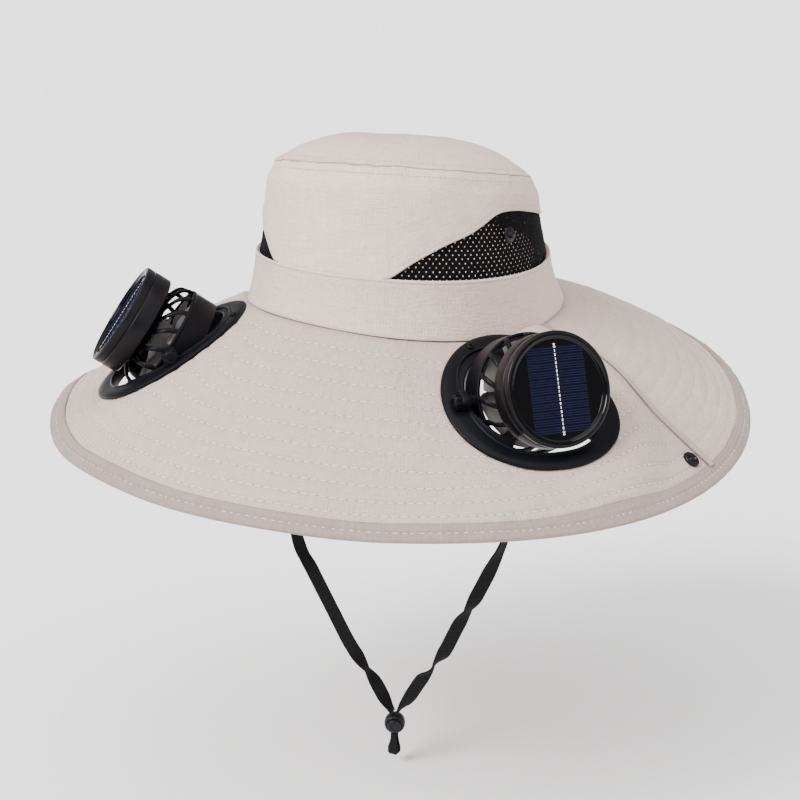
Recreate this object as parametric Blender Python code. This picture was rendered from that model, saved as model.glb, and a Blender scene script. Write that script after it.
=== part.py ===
"""Wide-brimmed sun hat with two tilting solar fans, built in metres with +Z up.

The origin is the middle of the head opening, at the seam between band and brim.
The front of the hat faces -Y.  An angle goes round the head from the front
towards +X, and every size below is in millimetres until MM turns it to metres.
"""
from math import atan2, copysign, cos, hypot, pi, radians, sin, tan

import bmesh
import bpy
from mathutils import Matrix, Vector

MM = 0.001
GAP = 0.3

# Head opening and crown, outer face of the cloth
OPENING_HALF_WIDTH = 90.0
OPENING_HALF_LENGTH = 108.0
BAND_TOP_HALF_WIDTH = 84.0
BAND_TOP_HEIGHT = 32.4
BAND_FLARE = 1.7
CROWN_LENGTH_RATIO = 1.15
CROWN_SHIFT_X = (-1.6, -1.8)
CROWN_SHIFT_Y = (-2.6, -4.3)
SEAM_HEIGHT = 78.0
SEAM_FALL_TO_BACK = 0.165
SEAM_RISE_TO_RIGHT = 0.04
TOP_RISE = 20.5
TOP_FULLNESS = 3.2
CLOTH = 2.0
NET = 1.2

# Height up the crown wall, from the band (0) to the top seam (1), and half width
CROWN_ROWS = (
    # height, half_width
    (0.0, 84.0),
    (0.5, 79.5),
    (0.8, 77.5),
    (1.0, 73.0),
)

# Upper edge of the net, as a height up the crown wall, the same on both sides
NET_EDGE = (
    # angle, height
    (25.0, 0.0),
    (35.0, 0.17),
    (46.4, 0.323),
    (58.0, 0.437),
    (64.6, 0.534),
    (69.4, 0.61),
    (75.0, 0.647),
    (84.0, 0.651),
    (96.5, 0.618),
    (110.0, 0.56),
    (140.0, 0.52),
    (180.0, 0.51),
)
NET_TIP_ANGLE = 25.0

# Brim: how far it reaches past the opening and how it falls round the head
BRIM_REACH = 117.0
BRIM_BOW = 1.2
HEM_WIDTH = 9.0
HEM_THICKNESS = 3.2
SIDE_SEAM_ANGLE = 86.0
SEAM_GAP_ANGLE = 0.16
BACK_EDGE_LIFT = 0.9
BACK_EDGE_ANGLE = 2.2

RIM_DROP = (
    # turns, by_cosine, by_sine
    (0, 62.5, 0.0),
    (1, 10.0, 1.6),
    (2, -5.4, 4.8),
    (3, 0.4, -2.6),
)
OPENING_DROP = (
    # turns, by_cosine, by_sine
    (1, -2.2, -0.9),
    (2, -3.6, 3.4),
)
BAND_TOP_DROP = (
    # turns, by_cosine, by_sine
    (1, 0.8, 1.6),
    (2, -2.1, 0.0),
)

# Soft waves in the brim: where each lies, how wide it is and how high
BRIM_WAVES = (
    # angle, share, angle_spread, share_spread, height
    (-78.0, 0.72, 8.0, 0.30, -2.6),
    (-66.0, 0.86, 7.0, 0.22, 1.6),
    (-38.0, 0.80, 9.0, 0.34, -2.4),
    (-18.0, 0.78, 9.0, 0.30, 1.4),
    (24.0, 0.86, 10.0, 0.26, -1.2),
    (112.0, 0.74, 12.0, 0.34, -1.6),
    (158.0, 0.80, 13.0, 0.34, 1.5),
    (-128.0, 0.76, 14.0, 0.34, -1.8),
)
# Soft dents in the crown: where each lies on the wall, its spread and its depth
CROWN_DENTS = (
    # angle, height, angle_spread, height_spread, depth
    (-32.0, 0.30, 9.0, 0.28, 1.6),
    (-14.0, 0.62, 7.0, 0.40, -0.7),
    (58.0, 0.78, 10.0, 0.14, 1.8),
    (14.0, 1.42, 16.0, 0.22, 1.4),
    (150.0, 0.70, 16.0, 0.30, 1.6),
    (-120.0, 0.66, 14.0, 0.26, 1.4),
)

# Fan pods: where each flange is centred on the brim, how it lies, how far its pivot
# line is turned from level and how far the fan is tilted forwards at rest
PODS = (
    # side, angle, share, lift, slope, facing, turn, tilt
    ("left", -46.5, 0.385, -5.0, 31.0, -56.0, 5.0, 26.0),
    ("right", 58.9, 0.380, -1.2, 30.6, 54.6, -1.0, 40.0),
)
FLAT_RADIUS = 60.0
FLAT_FADE = 24.0
FLANGE_RADIUS = (50.0, 50.0)
FLANGE_EGG = 0.12
FLANGE_HOLE = (39.5, 36.6)
FLANGE_SQUARENESS = 2.5
FLANGE_THICKNESS = 2.2
COLLAR_SHARE = 0.09
COLLAR_CLEARANCE = 2.3
COLLAR_DEPTH = 3.2
PIVOT_HEIGHT = 6.0
EAR_SIZE = (9.0, 6.5, 8.6)
PIN_RADIUS = 2.4

# Fan module, along its own axis from the pivot outwards
GUARD_RADIUS = 34.0
GUARD_WALL = 1.6
GUARD_BACK = -12.5
RIB_COUNT = 10
RIB_SHARE = 0.30
GUARD_ROWS = (
    # radius, along, twist, pierced
    (34.0, -12.5, 0.0, False),
    (34.0, 2.8, 0.0, False),
    (33.6, 5.0, 0.0, True),
    (32.0, 9.2, 4.0, True),
    (27.5, 12.4, 9.0, True),
    (21.5, 14.3, 15.0, False),
    (10.0, 14.8, 0.0, False),
)
MOTOR_RADIUS = 8.5
MOTOR_LENGTH = 3.4
ROTOR_HUB_RADIUS = 9.2
ROTOR_RADIUS = 29.6
ROTOR_BLADES = 7
ROTOR_DEPTH = (0.8, 10.2)
BLADE_ROWS = (
    # radius, chord, pitch
    (7.4, 8.0, 46.0),
    (16.0, 12.0, 38.0),
    (24.0, 14.5, 31.0),
    (29.6, 13.5, 26.0),
)
BLADE_THICKNESS = 1.2

HOUSING_RADIUS = 30.7
HOUSING_BACK = 16.5
HOUSING_DEPTH = 14.0
HOUSING_WALL = 1.6
PANEL_RADIUS = 28.4
PANEL_THICKNESS = 1.0
NECK_RADIUS = 8.0

# Snaps on the brim beside the side seams, and their studs on the net
SNAP_RADIUS = 5.0
SNAP_SHARE = 0.868
SNAP_ANGLE = 83.9
STUD_ANGLE = 76.0
STUD_HEIGHT = 0.40

# Chin strap: flat webbing from each side of the head opening to the cord lock
STRAP_WIDTH = 8.6
STRAP_THICKNESS = 1.3
STRAP_STEPS = 38
STRAP_ROUTE_RIGHT = (
    # x, y, z, turn
    (80.8, 1.0, 15.0, 90.0),
    (83.6, 1.0, 4.0, 90.0),
    (85.2, 1.0, -12.0, 90.0),
    (85.6, 0.5, -40.0, 88.0),
    (84.2, -0.5, -75.0, 84.0),
    (80.0, -1.6, -110.0, 76.0),
    (71.8, -2.6, -140.7, 62.0),
    (66.4, -3.0, -154.9, 24.0),
    (53.2, -3.0, -184.3, 18.0),
    (43.4, -3.0, -202.5, 56.0),
    (34.3, -3.0, -222.8, 20.0),
    (26.6, -2.8, -235.6, 74.0),
    (17.6, -2.6, -247.9, 18.0),
    (8.6, -2.2, -263.5, 4.0),
    (1.6, -1.9, -274.6, 0.0),
)
STRAP_ROUTE_LEFT = (
    # x, y, z, turn
    (-83.2, 1.0, 15.0, 90.0),
    (-84.8, 1.0, 4.0, 90.0),
    (-86.0, 1.0, -12.0, 90.0),
    (-88.4, 0.5, -45.0, 86.0),
    (-88.6, -1.0, -90.0, 74.0),
    (-85.0, -2.0, -130.0, 52.0),
    (-75.0, -3.4, -170.8, 22.0),
    (-63.4, -4.0, -189.4, 14.0),
    (-47.6, -4.2, -214.1, 18.0),
    (-35.6, -4.4, -232.6, 24.0),
    (-25.6, -4.4, -244.8, 76.0),
    (-15.3, -4.4, -256.2, 16.0),
    (-7.4, -4.6, -267.2, 4.0),
    (-1.6, -4.7, -274.6, 0.0),
)
LOCK_CENTRE = (-0.6, -3.3, -282.6)
LOCK_RADIUS = 6.8
LOCK_FACING = 24.0
LOCK_BACK = -5.4
LOCK_FRONT = 4.6
BUTTON_RADIUS = 4.5
BUTTON_FRONT = 6.6
BUTTON_BACK = -0.6
TAIL_LENGTH = 15.0
TAIL_WIDTH = 6.0

CROWN_SECTORS = 48
HEM_SECTORS = 64
ROUND_SIDES = 28

CLOTH_COLOUR = (0.60, 0.53, 0.50)
NET_COLOUR = (0.018, 0.018, 0.02)
BLACK_COLOUR = (0.012, 0.013, 0.016)
GREY_COLOUR = (0.12, 0.11, 0.10)
CELL_COLOUR = (0.008, 0.012, 0.05)


def clear_scene():
    for item in list(bpy.data.objects):
        bpy.data.objects.remove(item, do_unlink=True)


def make_material(name, colour, roughness, metallic=0.0):
    material = bpy.data.materials.new(name)
    material.use_nodes = True
    shader = material.node_tree.nodes["Principled BSDF"]
    shader.inputs["Base Color"].default_value = (*colour, 1.0)
    shader.inputs["Roughness"].default_value = roughness
    shader.inputs["Metallic"].default_value = metallic
    return material


def table_value(rows, place, column):
    """Straight reading between the rows of a table whose first column rises."""
    if place <= rows[0][0]:
        return rows[0][column]
    for low, high in zip(rows, rows[1:]):
        if place <= high[0]:
            share = (place - low[0]) / (high[0] - low[0])
            return low[column] + (high[column] - low[column]) * share
    return rows[-1][column]


def harmonics(rows, angle):
    return sum(c * cos(n * angle) + s * sin(n * angle) for n, c, s in rows)


def smooth_step(low, high, value):
    share = min(max((value - low) / (high - low), 0.0), 1.0)
    return share * share * (3.0 - 2.0 * share)


def angle_apart(first, second):
    return atan2(sin(first - second), cos(first - second))


def bump(rows, angle, share):
    """Height of the soft waves or dents of a table at one place."""
    height = 0.0
    for at_angle, at_share, angle_spread, share_spread, size in rows:
        across = angle_apart(angle, radians(at_angle)) / radians(angle_spread)
        along = (share - at_share) / share_spread
        height += size * 2.718 ** (-across * across - along * along)
    return height


def crown_axes(height):
    half_width = table_value(CROWN_ROWS, height, 1)
    shift_x = CROWN_SHIFT_X[0] + (CROWN_SHIFT_X[1] - CROWN_SHIFT_X[0]) * height
    shift_y = CROWN_SHIFT_Y[0] + (CROWN_SHIFT_Y[1] - CROWN_SHIFT_Y[0]) * height
    return half_width, half_width * CROWN_LENGTH_RATIO, shift_x, shift_y


def seam_plane(x, y):
    return SEAM_HEIGHT - SEAM_FALL_TO_BACK * y + SEAM_RISE_TO_RIGHT * x


def crown_surface(angle, height):
    """Outer face: band from -1 to 0, crown wall from 0 to 1, top from 1 to 2."""
    band_top = BAND_TOP_HEIGHT - harmonics(BAND_TOP_DROP, angle)
    if height < 0.0:
        up = height + 1.0
        draw = 1.0 - (1.0 - up) ** BAND_FLARE
        top_width, top_length, shift_x, shift_y = crown_axes(0.0)
        half_width = OPENING_HALF_WIDTH + (top_width - OPENING_HALF_WIDTH) * draw
        half_length = OPENING_HALF_LENGTH + (top_length - OPENING_HALF_LENGTH) * draw
        low = -harmonics(OPENING_DROP, angle)
        x = half_width * sin(angle) + shift_x * draw
        y = -half_length * cos(angle) + shift_y * draw
        return Vector((x, y, low + (band_top - low) * up))
    wall = min(height, 1.0)
    half_width, half_length, shift_x, shift_y = crown_axes(wall)
    dent = bump(CROWN_DENTS, angle, height) * smooth_step(0.0, 0.15, abs(height - 1.0))
    if height <= 1.0:
        half_width -= dent
    share = 1.0 if height <= 1.0 else 2.0 - height
    x = half_width * share * sin(angle) + shift_x
    y = -half_length * share * cos(angle) + shift_y
    if height <= 1.0:
        return Vector((x, y, band_top + (seam_plane(x, y) - band_top) * height))
    rise = TOP_RISE * (1.0 - share ** TOP_FULLNESS)
    return Vector((x, y, seam_plane(x, y) + rise - dent * smooth_step(0.0, 0.2, share)))


def crown_normal(angle, height):
    """Smoothed over about 2 mm, so neighbours share one mitre at a seam."""
    if height > 1.93:
        return Vector((-SEAM_RISE_TO_RIGHT, SEAM_FALL_TO_BACK, 1.0)).normalized()
    if abs(height - 1.0) < 0.01:
        height = 1.0
    round_step = 0.03
    up_step = 0.03
    low = max(height - up_step, -1.0)
    high = height + up_step
    round_way = crown_surface(angle + round_step, height) - crown_surface(angle - round_step, height)
    up_way = crown_surface(angle, high) - crown_surface(angle, low)
    normal = round_way.cross(up_way).normalized()
    if height < -0.9:
        normal.z = 0.0
        normal.normalize()
    return normal


def plain_brim(angle, share):
    """Brim before it is drawn flat under the pods; share runs from opening to rim."""
    reach = BRIM_REACH * share
    bow = max(share, 0.0) ** BRIM_BOW
    drop = harmonics(OPENING_DROP, angle) * (1.0 - bow) + harmonics(RIM_DROP, angle) * bow
    x = (OPENING_HALF_WIDTH + reach) * sin(angle)
    y = -(OPENING_HALF_LENGTH + reach) * cos(angle)
    return Vector((x, y, -drop))


def pod_frame(row):
    """Centre, downhill way, way round the head and normal of a pod's flange."""
    side, angle, share, lift, slope, facing, turn, tilt = row
    centre = plain_brim(radians(angle), share) + Vector((0.0, 0.0, lift))
    outward = Vector((sin(radians(facing)), -cos(radians(facing)), 0.0))
    across = Vector((cos(radians(facing)), sin(radians(facing)), 0.0))
    up = Vector((0.0, 0.0, 1.0))
    downhill = outward * cos(radians(slope)) - up * sin(radians(slope))
    normal = outward * sin(radians(slope)) + up * cos(radians(slope))
    return centre, downhill, across, normal, outward, tan(radians(slope))


def brim_surface(angle, share):
    """Upper face of the brim, flat under each pod, with its soft waves."""
    point = plain_brim(angle, share)
    free = 1.0
    for row in PODS:
        centre, downhill, across, normal, outward, fall = pod_frame(row)
        away = point - centre
        out = away.x * outward.x + away.y * outward.y
        sideways = away.x * across.x + away.y * across.y
        distance = hypot(out / downhill.dot(outward), sideways)
        hold = 1.0 - smooth_step(FLAT_RADIUS, FLAT_RADIUS + FLAT_FADE, distance)
        hold *= smooth_step(0.0, 0.05, share)
        point.z += (centre.z - out * fall - point.z) * hold
        free *= 1.0 - hold
    point.z += bump(BRIM_WAVES, angle, share) * free * smooth_step(0.0, 0.3, share)
    return point


def brim_normal(angle, share):
    step = 0.012
    low = max(share - step, -0.02)
    round_way = brim_surface(angle + step, share) - brim_surface(angle - step, share)
    out_way = brim_surface(angle, share + step) - brim_surface(angle, low)
    return out_way.cross(round_way).normalized()


def back_brim_surface(angle, share):
    """The back panel's folded edge stands a little proud beside each side seam."""
    point = brim_surface(angle, share)
    turned = abs(angle_apart(angle, pi))
    from_seam = (pi - turned) - radians(SIDE_SEAM_ANGLE)
    lift = 1.0 - smooth_step(0.0, radians(BACK_EDGE_ANGLE), from_seam)
    point.z += BACK_EDGE_LIFT * lift * smooth_step(0.02, 0.12, share)
    return point


def spread(low, high, count):
    return [low + (high - low) * step / count for step in range(count + 1)]


def finish_mesh(name, bm, material, parent=None, smooth_angle=32.0):
    bmesh.ops.recalc_face_normals(bm, faces=bm.faces[:])
    mesh = bpy.data.meshes.new(name)
    bm.to_mesh(mesh)
    bm.free()
    mesh.shade_smooth()
    mesh.set_sharp_from_angle(angle=radians(smooth_angle))
    mesh.materials.append(material)
    item = bpy.data.objects.new(name, mesh)
    bpy.context.collection.objects.link(item)
    if parent is not None:
        item.parent = parent
    return item


def join_rings(bm, rings, closed_rings, closed_stack):
    """Quads between neighbouring rings of vertices; a ring of one vertex is a pole."""
    pairs = list(zip(rings, rings[1:]))
    if closed_stack:
        pairs.append((rings[-1], rings[0]))
    for low, high in pairs:
        count = max(len(low), len(high))
        last = count if closed_rings else count - 1
        for index in range(last):
            after = (index + 1) % count
            corners = []
            for ring, place in ((low, index), (low, after), (high, after), (high, index)):
                vertex = ring[place % len(ring)]
                if vertex not in corners:
                    corners.append(vertex)
            bm.faces.new(corners)


def cloth_wall(name, surface, normal, place, columns, rows, thickness, closed, material):
    """A closed wall: place(column, row) gives angle and share on the outer surface."""
    bm = bmesh.new()

    def layer(depth):
        rings = []
        for row in rows:
            ring = []
            for column in columns:
                angle, share = place(column, row)
                point = surface(angle, share) - normal(angle, share) * depth
                ring.append(point * MM)
            if all((point - ring[0]).length < 1e-6 for point in ring):
                ring = ring[:1]
            rings.append([bm.verts.new(point) for point in ring])
        return rings

    outer = layer(0.0)
    inner = layer(thickness)
    join_rings(bm, outer, closed, False)
    join_rings(bm, inner, closed, False)
    for outer_edge, inner_edge in ((outer[0], inner[0]), (outer[-1], inner[-1])):
        if len(outer_edge) > 1:
            join_rings(bm, [outer_edge, inner_edge], closed, False)
    if not closed:
        for end in (0, -1):
            outer_side = [ring[end] for ring in outer]
            inner_side = [ring[end] for ring in inner]
            join_rings(bm, [outer_side, inner_side], False, False)
    return finish_mesh(name, bm, material)


def net_height(angle):
    return table_value(NET_EDGE, abs(angle_apart(angle, 0.0)) * 180.0 / pi, 1)


def full_turn(count, start=0.0):
    return [start + 2.0 * pi * step / count for step in range(count)]


def make_crown_top(material):
    seam_gap = 0.003
    rows = [1.0 + seam_gap, 1.07, 1.22, 1.5, 2.0]
    return cloth_wall("crown_top", crown_surface, crown_normal, lambda angle, row: (angle, row),
                      full_turn(CROWN_SECTORS), rows, CLOTH, True, material)


def make_crown_side(material):
    edge_gap = 0.005

    def place(angle, row):
        low = net_height(angle) + edge_gap
        high = 1.0 - 0.004
        return angle, low + (high - low) * row

    return cloth_wall("crown_side", crown_surface, crown_normal, place,
                      full_turn(CROWN_SECTORS), spread(0.0, 1.0, 3), CLOTH, True, material)


def make_mesh_panel(material):
    edge_gap = 0.005
    tip = radians(NET_TIP_ANGLE + 1.6)

    def place(angle, row):
        high = net_height(angle) - 0.004
        return angle, edge_gap + (high - edge_gap) * row

    between = [angle for angle in full_turn(CROWN_SECTORS) if tip < angle < 2.0 * pi - tip]
    columns = [tip] + between + [2.0 * pi - tip]
    return cloth_wall("mesh_panel", crown_surface, crown_normal, place,
                      columns, spread(0.0, 1.0, 2), NET, False, material)


def make_crown_band(material):
    rows = [-0.986, -0.86, -0.6, -0.005]
    return cloth_wall("crown_band", crown_surface, crown_normal, lambda angle, row: (angle, row),
                      full_turn(CROWN_SECTORS), rows, CLOTH, True, material)


def brim_shares(count):
    inner = -(CLOTH - 0.2) / BRIM_REACH
    outer = 1.0 - (HEM_WIDTH + 0.7) / BRIM_REACH
    return spread(inner, outer, count)


def make_brim_front(material, cutters):
    seam = radians(SIDE_SEAM_ANGLE - SEAM_GAP_ANGLE)
    item = cloth_wall("brim_front", brim_surface, brim_normal, lambda angle, row: (angle, row),
                      spread(-seam, seam, 32), brim_shares(8), CLOTH, False, material)
    for cutter in cutters:
        cut = item.modifiers.new("pod hole", "BOOLEAN")
        cut.operation = "DIFFERENCE"
        cut.solver = "EXACT"
        cut.object = cutter
    return item


def make_brim_back(material):
    seam = radians(SIDE_SEAM_ANGLE + SEAM_GAP_ANGLE)
    edge = radians(BACK_EDGE_ANGLE)
    middle = spread(seam + edge, 2.0 * pi - seam - edge, 24)
    columns = [seam, seam + edge * 0.5] + middle + [2.0 * pi - seam - edge * 0.5, 2.0 * pi - seam]
    return cloth_wall("brim_back", back_brim_surface, brim_normal, lambda angle, row: (angle, row),
                      columns, brim_shares(6), CLOTH, False, material)


def make_brim_hem(material):
    """Binding round the rim: a flat padded strip with a rounded outer edge."""
    section = (
        # share back from the rim, height above the middle of the brim
        (HEM_WIDTH, 0.46),
        (1.0, 0.5),
        (0.0, 0.25),
        (0.0, -0.25),
        (1.0, -0.5),
        (HEM_WIDTH, -0.46),
    )
    bm = bmesh.new()
    rings = []
    for angle in full_turn(HEM_SECTORS):
        ring = []
        for back, high in section:
            share = 1.0 - back / BRIM_REACH
            up = high * HEM_THICKNESS - CLOTH * 0.5
            point = brim_surface(angle, share) + brim_normal(angle, share) * up
            ring.append(bm.verts.new(point * MM))
        rings.append(ring)
    join_rings(bm, rings, True, True)
    return finish_mesh("brim_hem", bm, material, smooth_angle=50.0)


def oval(half_x, half_y, angle, squareness):
    power = 2.0 / squareness
    x = half_x * copysign(abs(cos(angle)) ** power, cos(angle))
    y = half_y * copysign(abs(sin(angle)) ** power, sin(angle))
    return x, y


def add_oval_ring(bm, section, count):
    """A closed ring: each section row gives a share from hole to outer edge and a height."""
    rings = []
    for step in range(count):
        angle = 2.0 * pi * (step + 0.5) / count
        hole = oval(FLANGE_HOLE[0], FLANGE_HOLE[1], angle, FLANGE_SQUARENESS)
        rim = oval(FLANGE_RADIUS[0], FLANGE_RADIUS[1] * (1.0 + FLANGE_EGG * cos(angle)), angle, 2.0)
        ring = []
        for share, height in section:
            x = hole[0] + (rim[0] - hole[0]) * share
            y = hole[1] + (rim[1] - hole[1]) * share
            ring.append(bm.verts.new(Vector((x, y, height)) * MM))
        rings.append(ring)
    join_rings(bm, rings, True, True)


def add_box(bm, centre, size, tilt=None):
    matrix = Matrix.Translation(Vector(centre) * MM)
    if tilt is not None:
        matrix = matrix @ tilt
    matrix = matrix @ Matrix.Diagonal((size[0] * MM, size[1] * MM, size[2] * MM, 1.0))
    bmesh.ops.create_cube(bm, size=1.0, matrix=matrix)


def add_rod(bm, start, end, radius, sides):
    """A plain round rod between two points."""
    way = Vector(end) - Vector(start)
    middle = (Vector(start) + Vector(end)) * 0.5
    matrix = Matrix.Translation(middle * MM) @ way.to_track_quat("Z", "Y").to_matrix().to_4x4()
    bmesh.ops.create_cone(bm, cap_ends=True, segments=sides, radius1=radius * MM,
                          radius2=radius * MM, depth=way.length * MM, matrix=matrix)


def add_lathe(bm, profile, sides, closed):
    """Turn a profile of radius and height about Z; closed joins its last row to the first."""
    rings = []
    for radius, height in profile:
        if radius < 1e-6:
            rings.append([bm.verts.new((0.0, 0.0, height * MM))])
            continue
        ring = []
        for angle in full_turn(sides):
            ring.append(bm.verts.new(Vector((radius * cos(angle), radius * sin(angle), height)) * MM))
        rings.append(ring)
    join_rings(bm, rings, True, closed)


def helper_object(name, bm, parent):
    """A cutter or a filler that only a Boolean reads."""
    bmesh.ops.recalc_face_normals(bm, faces=bm.faces[:])
    mesh = bpy.data.meshes.new(name)
    bm.to_mesh(mesh)
    bm.free()
    item = bpy.data.objects.new(name, mesh)
    bpy.context.collection.objects.link(item)
    item.parent = parent
    item.hide_render = True
    item.display_type = "WIRE"
    return item


def unite(item, filler):
    union = item.modifiers.new("joined on", "BOOLEAN")
    union.operation = "UNION"
    union.solver = "EXACT"
    union.object = filler


def empty(name, parent=None, matrix=None):
    item = bpy.data.objects.new(name, None)
    bpy.context.collection.objects.link(item)
    if parent is not None:
        item.parent = parent
    if matrix is not None:
        item.matrix_local = matrix
    return item


def pod_empty(row):
    centre, downhill, across, normal, outward, fall = pod_frame(row)
    matrix = Matrix.Identity(4)
    for column, way in enumerate((downhill, across, normal)):
        for line in range(3):
            matrix[line][column] = way[line]
    matrix.translation = centre * MM
    matrix = matrix @ Matrix.Rotation(radians(row[6]), 4, "Z")
    return empty("pod_" + row[0], None, matrix)


def make_hole_cutter(side, pod):
    bm = bmesh.new()
    clear = COLLAR_CLEARANCE
    rings = []
    for height in (-14.0, 14.0):
        ring = []
        for angle in full_turn(36):
            x, y = oval(FLANGE_HOLE[0] + clear, FLANGE_HOLE[1] + clear, angle, FLANGE_SQUARENESS)
            ring.append(bm.verts.new(Vector((x, y, height)) * MM))
        rings.append(ring)
        bm.faces.new(ring)
    join_rings(bm, rings, True, False)
    return helper_object("hole_cutter_" + side, bm, pod)


def make_flange(side, pod, material):
    """Flat oval ring on the brim, a collar down through the brim and two pivot ears."""
    width = FLANGE_RADIUS[0] - FLANGE_HOLE[0]
    top = GAP + FLANGE_THICKNESS
    section = (
        # share from hole to rim, height
        (1.0, GAP + 0.1),
        (1.0, GAP + 1.2),
        (1.0 - 1.6 / width, top),
        (1.6 / width, top),
        (0.0, top - 0.6),
        (0.0, -COLLAR_DEPTH),
        (COLLAR_SHARE, -COLLAR_DEPTH),
        (COLLAR_SHARE, GAP + 0.1),
    )
    bm = bmesh.new()
    add_oval_ring(bm, section, 32)
    item = finish_mesh("flange_" + side, bm, material, pod)
    long, wide, high = EAR_SIZE
    ears = bmesh.new()
    for way in (-1.0, 1.0):
        middle = way * (FLANGE_HOLE[1] + 0.2 + wide * 0.5)
        add_box(ears, (0.0, middle, 1.4 + high * 0.5), (long, wide, high))
    edges = [edge for edge in ears.edges if all(v.co.z > 0.006 for v in edge.verts)]
    bmesh.ops.bevel(ears, geom=edges, offset=1.8 * MM, segments=2, affect="EDGES", profile=0.5)
    unite(item, helper_object("ears_" + side, ears, pod))
    return item


def make_fan_guard(side, tilt, material):
    """Drum ring and ribbed dome in one, with its two pivot pins and the motor boss."""
    bm = bmesh.new()
    rib = 2.0 * pi / RIB_COUNT * RIB_SHARE
    slot = 2.0 * pi / RIB_COUNT - rib
    turn = 1.0 if side == "right" else -1.0
    rings = []
    for radius, along, twist, pierced in GUARD_ROWS:
        ring = []
        for index in range(RIB_COUNT):
            start = 2.0 * pi * index / RIB_COUNT + radians(twist) * turn
            for offset in (0.0, rib, rib + slot * 0.5):
                angle = start + offset
                ring.append(bm.verts.new(Vector((radius * cos(angle), radius * sin(angle), along)) * MM))
        rings.append(ring)
    count = len(rings[0])
    for level, (low, high) in enumerate(zip(rings, rings[1:])):
        pierced = GUARD_ROWS[level][3]
        for index in range(count):
            if pierced and index % 3 != 0:
                continue
            after = (index + 1) % count
            bm.faces.new((low[index], low[after], high[after], high[index]))
    bm.faces.new(rings[-1])
    mesh = bpy.data.meshes.new("fan_guard_" + side)
    bm.to_mesh(mesh)
    bm.free()
    mesh.shade_smooth()
    mesh.set_sharp_from_angle(angle=radians(32.0))
    mesh.materials.append(material)
    item = bpy.data.objects.new("fan_guard_" + side, mesh)
    bpy.context.collection.objects.link(item)
    item.parent = tilt
    wall = item.modifiers.new("wall", "SOLIDIFY")
    wall.thickness = GUARD_WALL * MM
    wall.offset = -1.0
    wall.use_even_offset = True
    added = bmesh.new()
    reach = FLANGE_HOLE[1] - 0.15
    inside = GUARD_RADIUS - GUARD_WALL * 0.5
    add_rod(added, (0.0, inside, 0.0), (0.0, reach, 0.0), PIN_RADIUS, 10)
    add_rod(added, (0.0, -inside, 0.0), (0.0, -reach, 0.0), PIN_RADIUS, 10)
    top = GUARD_ROWS[-1][1]
    add_rod(added, (0.0, 0.0, top - GUARD_WALL - MOTOR_LENGTH + 1.0), (0.0, 0.0, top - 0.5), MOTOR_RADIUS, 16)
    unite(item, helper_object("guard_bosses_" + side, added, tilt))
    return item


def make_fan_rotor(side, tilt, material):
    """Hub with seven pitched blades, turning on the module's axis."""
    low, high = ROTOR_DEPTH
    bm = bmesh.new()
    profile = ((0.0, low), (ROTOR_HUB_RADIUS - 1.0, low), (ROTOR_HUB_RADIUS, low + 1.0),
               (ROTOR_HUB_RADIUS, high - 1.2), (ROTOR_HUB_RADIUS - 1.2, high), (0.0, high))
    add_lathe(bm, profile, 21, False)
    item = finish_mesh("fan_rotor_" + side, bm, material, tilt)
    turn = 1.0 if side == "right" else -1.0
    blades = bmesh.new()
    middle = (low + high) * 0.5 - 0.6
    for index in range(ROTOR_BLADES):
        start = 2.0 * pi * (index + 0.5) / ROTOR_BLADES
        rings = []
        for radius, chord, pitch in BLADE_ROWS:
            ring = []
            sweep = start + turn * 0.14 * (radius / ROTOR_RADIUS) ** 2
            way_out = Vector((cos(sweep), sin(sweep), 0.0))
            way_round = Vector((-sin(sweep), cos(sweep), 0.0)) * turn
            along = way_round * cos(radians(pitch)) + Vector((0.0, 0.0, 1.0)) * sin(radians(pitch))
            thick = way_out.cross(along).normalized()
            base = way_out * radius + Vector((0.0, 0.0, middle))
            for ahead, up in ((-0.5, -0.5), (0.5, -0.5), (0.5, 0.5), (-0.5, 0.5)):
                point = base + along * chord * ahead * 0.62 + thick * BLADE_THICKNESS * up
                ring.append(blades.verts.new(point * MM))
            rings.append(ring)
        join_rings(blades, rings, True, False)
        blades.faces.new(rings[0])
        blades.faces.new(rings[-1])
    unite(item, helper_object("rotor_blades_" + side, blades, tilt))
    return item


def make_solar_housing(side, tilt, material):
    """Round cup that holds the panel, open at its back, on a short neck."""
    front = HOUSING_BACK + HOUSING_DEPTH
    floor = front - 2.0
    bore = HOUSING_RADIUS - HOUSING_WALL
    neck_end = GUARD_ROWS[-1][1] + GAP
    profile = (
        # radius, along
        (0.0, floor),
        (PANEL_RADIUS + GAP, floor),
        (PANEL_RADIUS + GAP, front - 0.4),
        (PANEL_RADIUS + GAP + 0.6, front),
        (HOUSING_RADIUS - 0.8, front),
        (HOUSING_RADIUS, front - 0.9),
        (HOUSING_RADIUS, HOUSING_BACK + 0.6),
        (HOUSING_RADIUS - 0.6, HOUSING_BACK),
        (bore, HOUSING_BACK),
        (bore, floor - 1.8),
        (NECK_RADIUS, floor - 1.8),
        (NECK_RADIUS, neck_end),
        (0.0, neck_end),
    )
    bm = bmesh.new()
    add_lathe(bm, profile, ROUND_SIDES, False)
    return finish_mesh("solar_housing_" + side, bm, material, tilt)


def make_solar_panel(side, tilt, material):
    low = HOUSING_BACK + HOUSING_DEPTH - 2.0 + GAP
    high = low + PANEL_THICKNESS
    bm = bmesh.new()
    add_lathe(bm, ((0.0, low), (PANEL_RADIUS, low), (PANEL_RADIUS, high), (0.0, high)), ROUND_SIDES, False)
    return finish_mesh("solar_panel_" + side, bm, material, tilt)


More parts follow.
